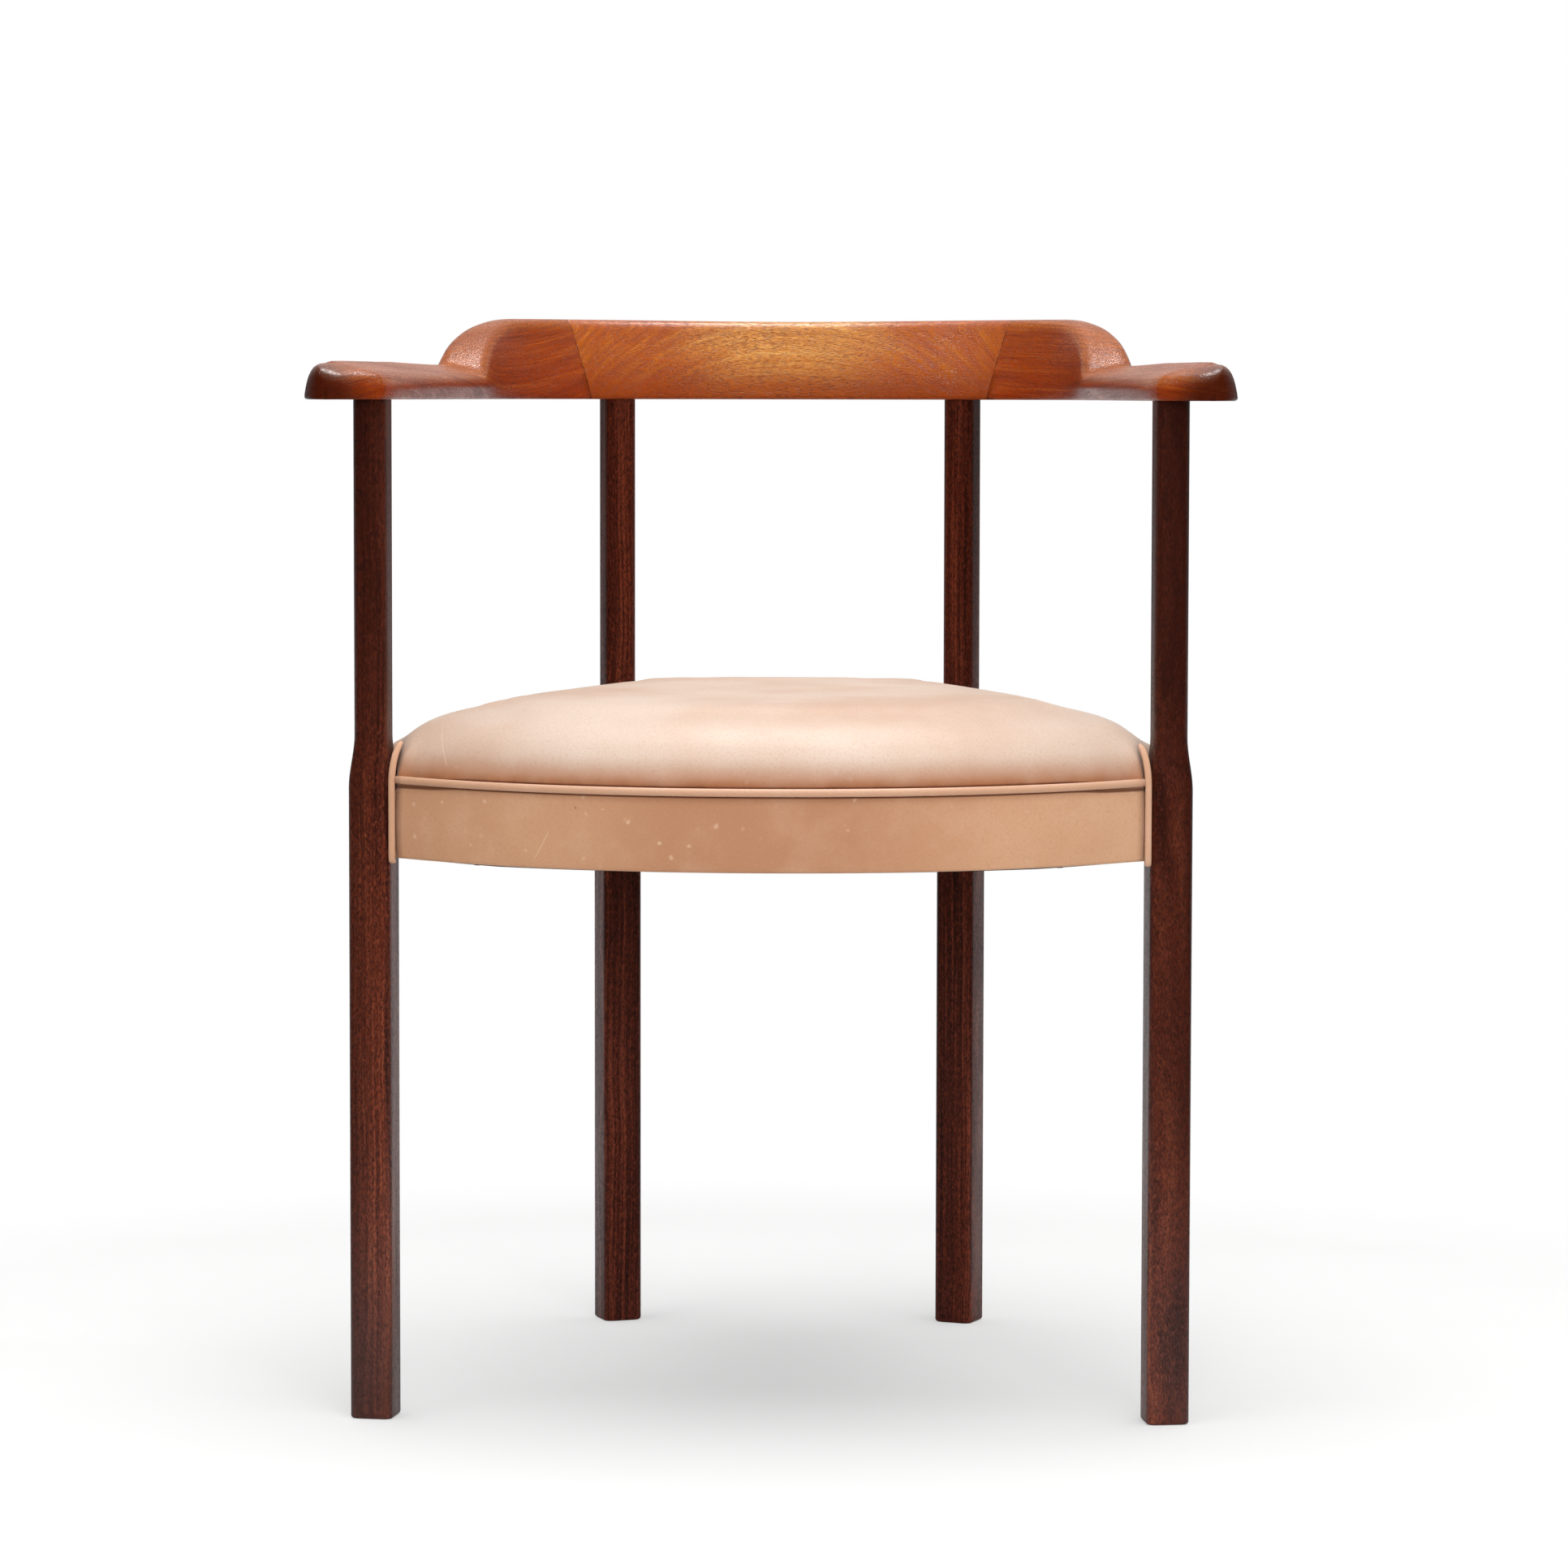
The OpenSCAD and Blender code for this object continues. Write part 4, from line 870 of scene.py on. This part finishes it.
def right_welt_feet():
    """The two welts of each right leg, as foot, direction from the leg and direction outwards."""
    back = Vector((0, 1, 0))
    left = Vector((-1, 0, 0))
    return {
        "front": (
            (front_leg + left * FRONT_WELT_INSIDE - back * FRONT_WELT_BEFORE, left, -back),
            (front_leg + side_along * WELT_FROM_LEG + side_out * WELT_OUT, side_along, side_out)),
        "rear": (
            (rear_leg - side_along * WELT_FROM_LEG + side_out * WELT_OUT, -side_along, side_out),
            (rear_leg + left * WELT_FROM_LEG + back * WELT_OUT, left, back))}


def welt_feet():
    """All eight welts."""
    right = [welt for pair in right_welt_feet().values() for welt in pair]
    return right + [tuple(Vector((-v.x, v.y, v.z)) for v in welt) for welt in right]


def leg_welts(finish):
    """Two upright welts beside each leg, which close the ends of the leather bands."""
    for corner, runs in right_welt_feet().items():
        for side in ("right", "left"):
            bm = bmesh.new()
            for foot, away, out in runs:
                sweep(bm, welt_profile(), welt_run(foot, away, out))
            if side == "left":
                bmesh.ops.scale(bm, vec=(-1, 1, 1), verts=bm.verts)
            name = corner + "_" + side
            welt = new_piece(name + "_welt_leather", bm)
            subdivide(welt, 2)
            finish_piece(welt, finish, "leather_edge", name + "_leg_welts")


# Cloth under the seat

def seat_sheet(name, inset, height, sag, thickness):
    """A sheet in the plan of the seat, cut across at the legs, with a little sag."""
    bm = bmesh.new()
    bmesh.ops.create_grid(bm, x_segments=CLOTH_CELLS, y_segments=CLOTH_CELLS, size=1)
    rear = back_y - inset
    for vert in bm.verts:
        across, along = vert.co.x, (vert.co.y + 1) / 2
        y = band_low.y + inset + (rear - band_low.y - inset) * along
        for _ in range(3):
            edge = side_x(y, inset)
            front = arc_y(min(abs(across) * edge, arc_half_x - 0.001), inset)
            y = front + (rear - front) * along
        hang = (1 - across ** 4) * (1 - (2 * along - 1) ** 4)
        vert.co = (across * edge, y, height - sag * hang)
    for leg, inward in ((front_leg, Vector((-1, 1, 0))), (rear_leg, Vector((-1, -1, 0)))):
        for side in (1, -1):
            flip = Vector((side, 1, 1))
            normal = (inward * flip).normalized()
            bmesh.ops.bisect_plane(
                bm, geom=bm.verts[:] + bm.edges[:] + bm.faces[:],
                plane_co=leg * flip + normal * CLOTH_LEG_GAP, plane_no=normal, clear_inner=True)
    area = sum(face.calc_area() for face in bm.faces)
    bmesh.ops.solidify(bm, geom=bm.faces[:], thickness=thickness)
    sheet = new_piece(name, bm)
    return sheet


def side_x(y, inset):
    """Half width of the seat at a depth, inside its side leather."""
    edge = front_leg + side_out * (SEAT_SIDE - inset)
    return edge.x + (y - edge.y) * side_along.x / side_along.y


def cover_tacks(finish):
    """Tacks that hold the dust cover under the rails."""
    spots = []
    for k in range(-4, 5):
        x = k * TACK_PITCH
        spots.append((x, arc_y(x, TACK_INSET)))
    for k in range(-2, 3):
        spots.append((k * TACK_PITCH * 0.9, back_y - TACK_INSET))
    for k in range(7):
        y = front_leg.y + TACK_PITCH + k * TACK_PITCH * 1.05
        spots += [(side_x(y, TACK_INSET), y), (-side_x(y, TACK_INSET), y)]
    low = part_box("dust_cover")[0].z
    bm = bmesh.new()
    for x, y in spots:
        made = bmesh.ops.create_uvsphere(bm, u_segments=14, v_segments=8, radius=TACK_R)["verts"]
        bmesh.ops.scale(bm, vec=(1, 1, TACK_FLATNESS), verts=made)
        bmesh.ops.translate(bm, vec=(x, y, low + 0.0004), verts=made)
    tacks = new_piece("dust_cover_tacks", bm)
    finish_piece(tacks, finish, "screw_steel")


def straps(name, runs, finish):
    """Webbing straps along runs of points, each with stripes woven along its length."""
    bm = bmesh.new()
    uv = bm.loops.layers.uv.new("strap")
    steps = (-0.5, -0.25, 0.0, 0.25, 0.5)
    profile = [(STRAP_W * k, -STRAP_HALF_THICK) for k in steps]
    profile += [(STRAP_W * k, STRAP_HALF_THICK) for k in reversed(steps)]
    for points, across in runs:
        before = set(bm.faces)
        sweep(bm, profile, [(p, across, UP) for p in points])
        start = points[0]
        for face in set(bm.faces) - before:
            for loop in face.loops:
                offset = loop.vert.co - start
                loop[uv].uv = (offset.dot(across) / STRAP_W + 0.5, offset.cross(across).length)
    piece = new_piece(name + "_straps", bm)
    finish_piece(piece, finish, "jute", name)


def webbing(finish):
    """Jute straps from front to back and from side to side, laid over and under each other."""
    low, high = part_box("lengthwise_webbing")
    rest = low.z + STRAP_REST
    pitch = (high.x - low.x - STRAP_W) / 2
    runs = []
    for k in (-1, 0, 1):
        x = k * pitch
        ends = (arc_y(abs(x) + STRAP_W / 2, STRAP_END), back_y - STRAP_END)
        points = [Vector((x, ends[0] + (ends[1] - ends[0]) * j / 24, rest)) for j in range(25)]
        runs.append((points, Vector((1, 0, 0))))
    straps("lengthwise_webbing", runs, finish)
    low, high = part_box("crosswise_webbing")
    step = (high.y - low.y - STRAP_W) / (CROSS_STRAPS - 1)
    runs = []
    for k in range(CROSS_STRAPS):
        y = low.y + STRAP_W / 2 + step * k
        half = side_x(y + STRAP_W / 2, CROSS_STRAP_END)
        points = []
        for j in range(33):
            x = half * (j / 16 - 1)
            over = smooth_step((half - CROSS_RISE_FROM - abs(x)) / CROSS_RISE_OVER)
            points.append(Vector((x, y, rest + CROSS_RISE * over)))
        runs.append((points, Vector((0, -1, 0))))
    straps("crosswise_webbing", runs, finish)


def seat_support():
    """Webbing, hessian and dust cover."""
    webbing(woven("webbing_weave", (0.22, 0.14, 0.06), (0.48, 0.34, 0.17), 0.0016,
                  stripe=(0.10, 0.035, 0.02)))
    hessian = seat_sheet("hessian_sheet", HESSIAN_INSET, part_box("hessian")[1].z - 0.0001, 0.0,
                         0.0006)
    finish_piece(hessian, woven("hessian_weave", (0.24, 0.16, 0.08), (0.5, 0.37, 0.2), 0.0013),
                 "jute", "hessian")
    cover = seat_sheet("dust_cover_sheet", COVER_INSET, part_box("dust_cover")[1].z, CLOTH_SAG,
                       0.0005)
    finish_piece(cover, woven("dust_cover_weave", (0.012, 0.011, 0.01), (0.05, 0.045, 0.04),
                              0.0007, relief_depth=0.0001), "black_cloth", "dust_cover")
    cover_tacks(plain_metal("tack_steel", (0.12, 0.11, 0.11), (0.07, 0.06, 0.055)))


def seat():
    cover = leather("seat_leather", *SEAT_TONES_WITH_SHEEN, marks=0.15, rough=0.55, sheen=0.2,
                    fold_shade_z=seat_edge_z, seam_shadow_z=seat_edge_z - 0.0002, scratch=SEAT_SCRATCH)
    band = leather("band_leather", *BAND_TONES, middle=BAND_MIDDLE_TONE, marks=0.9, rough=0.55,
                   seam_shadow_z=piping_z - PIPING_R, scratch=BAND_SCRATCH)
    edge = leather("edge_leather", *EDGE_TONES, marks=0.0, rough=0.5)
    seat_cushion(cover)
    seat_edges(band, edge)
    leg_welts(edge)
    seat_support()


# Studio

def floor():
    """Pale floor that keeps the shadow of the chair and turns into the white background."""
    bm = bmesh.new()
    bmesh.ops.create_grid(bm, x_segments=8, y_segments=8, size=FLOOR_HALF)
    piece = new_piece("floor", bm)
    finish = Finish("studio_floor")
    smudge = finish.noise(finish.stretch(finish.place, (1.2, 5, 1)), 1.0, 4.0, 0.6)
    colour = finish.mix(finish.fade(smudge, 0.45, 0.8), (0.92, 0.92, 0.915), (0.88, 0.88, 0.87))
    path = finish.add("ShaderNodeLightPath").outputs
    seen, mirrored_ray = path["Is Camera Ray"], path["Is Glossy Ray"]
    x, y, _ = finish.parts(finish.place)
    before = finish.add("ShaderNodeCombineXYZ", {0: x, 1: finish.math("MINIMUM", y, 0.0)})
    reach = finish.vector("LENGTH", before.outputs[0], (0, 0, 0)).outputs["Value"]
    unlit = finish.mix(mirrored_ray, finish.fade(reach, 0.4, 1.6, 0.1, 0.85),
                       finish.fade(reach, 0.4, 0.8, 0.2, 0.98))
    unlit = finish.times(unlit, finish.math("SUBTRACT", 1.0, seen))
    colour = finish.mix(unlit, colour, (0.02, 0.02, 0.02))
    finish.set(Base_Color=colour, Roughness=0.75, Specular_IOR_Level=0.0)
    distance = finish.vector("LENGTH", finish.place, (0, 0, 0)).outputs["Value"]
    far = finish.fade(distance, *WHITE_REACH)
    white = finish.add("ShaderNodeEmission", {"Color": (1, 1, 1, 1), "Strength": 1.0})
    blend = finish.add("ShaderNodeMixShader")
    behind = finish.fade(y, 0.15, 0.7, 0.0, 0.9)
    finish.put(blend.inputs[0], finish.math(
        "ADD", finish.times(finish.math("MAXIMUM", far, FLOOR_WHITE), seen),
        finish.times(behind, mirrored_ray)))
    finish.put(blend.inputs[1], finish.surface.outputs[0])
    finish.put(blend.inputs[2], white.outputs[0])
    output = next(n for n in finish.tree.nodes if n.type == "OUTPUT_MATERIAL")
    finish.put(output.inputs["Surface"], blend.outputs[0])
    piece.data.materials.append(finish.material)


def studio_world():
    """Even light, with a white studio behind the chair and a darker one before it."""
    world = bpy.data.worlds.new("studio")
    bpy.context.scene.world = world
    world.use_nodes = True
    world.cycles.sampling_method = "NONE"
    tree = world.node_tree
    tree.nodes.clear()

    def add(kind, inputs=None, **settings):
        node = tree.nodes.new(kind)
        for key, value in settings.items():
            setattr(node, key, value)
        for key, value in (inputs or {}).items():
            if isinstance(value, bpy.types.NodeSocket):
                tree.links.new(value, node.inputs[key])
            else:
                node.inputs[key].default_value = value
        return node

    path = add("ShaderNodeLightPath")
    direction = add("ShaderNodeSeparateXYZ", {0: add("ShaderNodeTexCoord").outputs["Generated"]})
    behind = add("ShaderNodeMapRange", {
        "Value": direction.outputs[1], "From Min": 0.3, "From Max": 0.88, "To Min": 0.03,
        "To Max": 1.0}, interpolation_type="SMOOTHSTEP")
    aside = add("ShaderNodeMath", {0: direction.outputs[0]}, operation="ABSOLUTE").outputs[0]
    even = add("ShaderNodeMapRange", {
        "Value": aside, "From Min": 0.3, "From Max": 0.85, "To Min": 0.42, "To Max": 0.12},
        interpolation_type="SMOOTHSTEP")
    raised = add("ShaderNodeMapRange", {
        "Value": direction.outputs[2], "From Min": 0.02, "From Max": 0.3, "To Min": 0.06,
        "To Max": 1.0}, interpolation_type="SMOOTHSTEP").outputs[0]
    bright = add("ShaderNodeMath", {0: behind.outputs[0], 1: raised}, operation="MULTIPLY")
    soft = add("ShaderNodeBackground", {"Color": (1, 1, 1, 1), "Strength": even.outputs[0]})
    mirror = add("ShaderNodeBackground", {"Color": (1, 1, 1, 1),
                                          "Strength": bright.outputs[0]})
    white = add("ShaderNodeBackground", {"Color": (1, 1, 1, 1), "Strength": 1.0})
    first = add("ShaderNodeMixShader", {0: path.outputs["Is Glossy Ray"], 1: soft.outputs[0],
                                        2: mirror.outputs[0]})
    second = add("ShaderNodeMixShader", {0: path.outputs["Is Camera Ray"], 1: first.outputs[0],
                                         2: white.outputs[0]})
    add("ShaderNodeOutputWorld", {"Surface": second.outputs[0]})


def softbox(name, at, target, size, power, lights):
    """A lamp that lights either the diffuse or the glossy side of the surfaces."""
    light = bpy.data.lights.new(name, "AREA")
    light.shape = "RECTANGLE"
    light.size, light.size_y = size
    light.energy = power
    lamp = bpy.data.objects.new(name, light)
    lamp.location = at
    lamp.rotation_euler = (Vector(target) - Vector(at)).to_track_quat("-Z", "Y").to_euler()
    lamp.visible_glossy = lights == "glossy"
    lamp.visible_diffuse = lights == "diffuse"
    bpy.context.scene.collection.objects.link(lamp)


def studio():
    floor()
    studio_world()
    for lamp in LAMPS:
        softbox(*lamp)
    camera = bpy.data.cameras.new("camera")
    camera.sensor_width = CAMERA_SENSOR
    camera.lens = CAMERA_LENS
    camera.clip_end = 60
    holder = bpy.data.objects.new("camera", camera)
    holder.location = CAMERA_AT
    holder.rotation_euler = Euler((math.pi / 2 + CAMERA_PITCH, CAMERA_ROLL, CAMERA_HEADING))
    bpy.context.scene.collection.objects.link(holder)
    bpy.context.scene.camera = holder
    bpy.context.scene.view_settings.view_transform = "Standard"


studio()
wooden_parts()
seat()
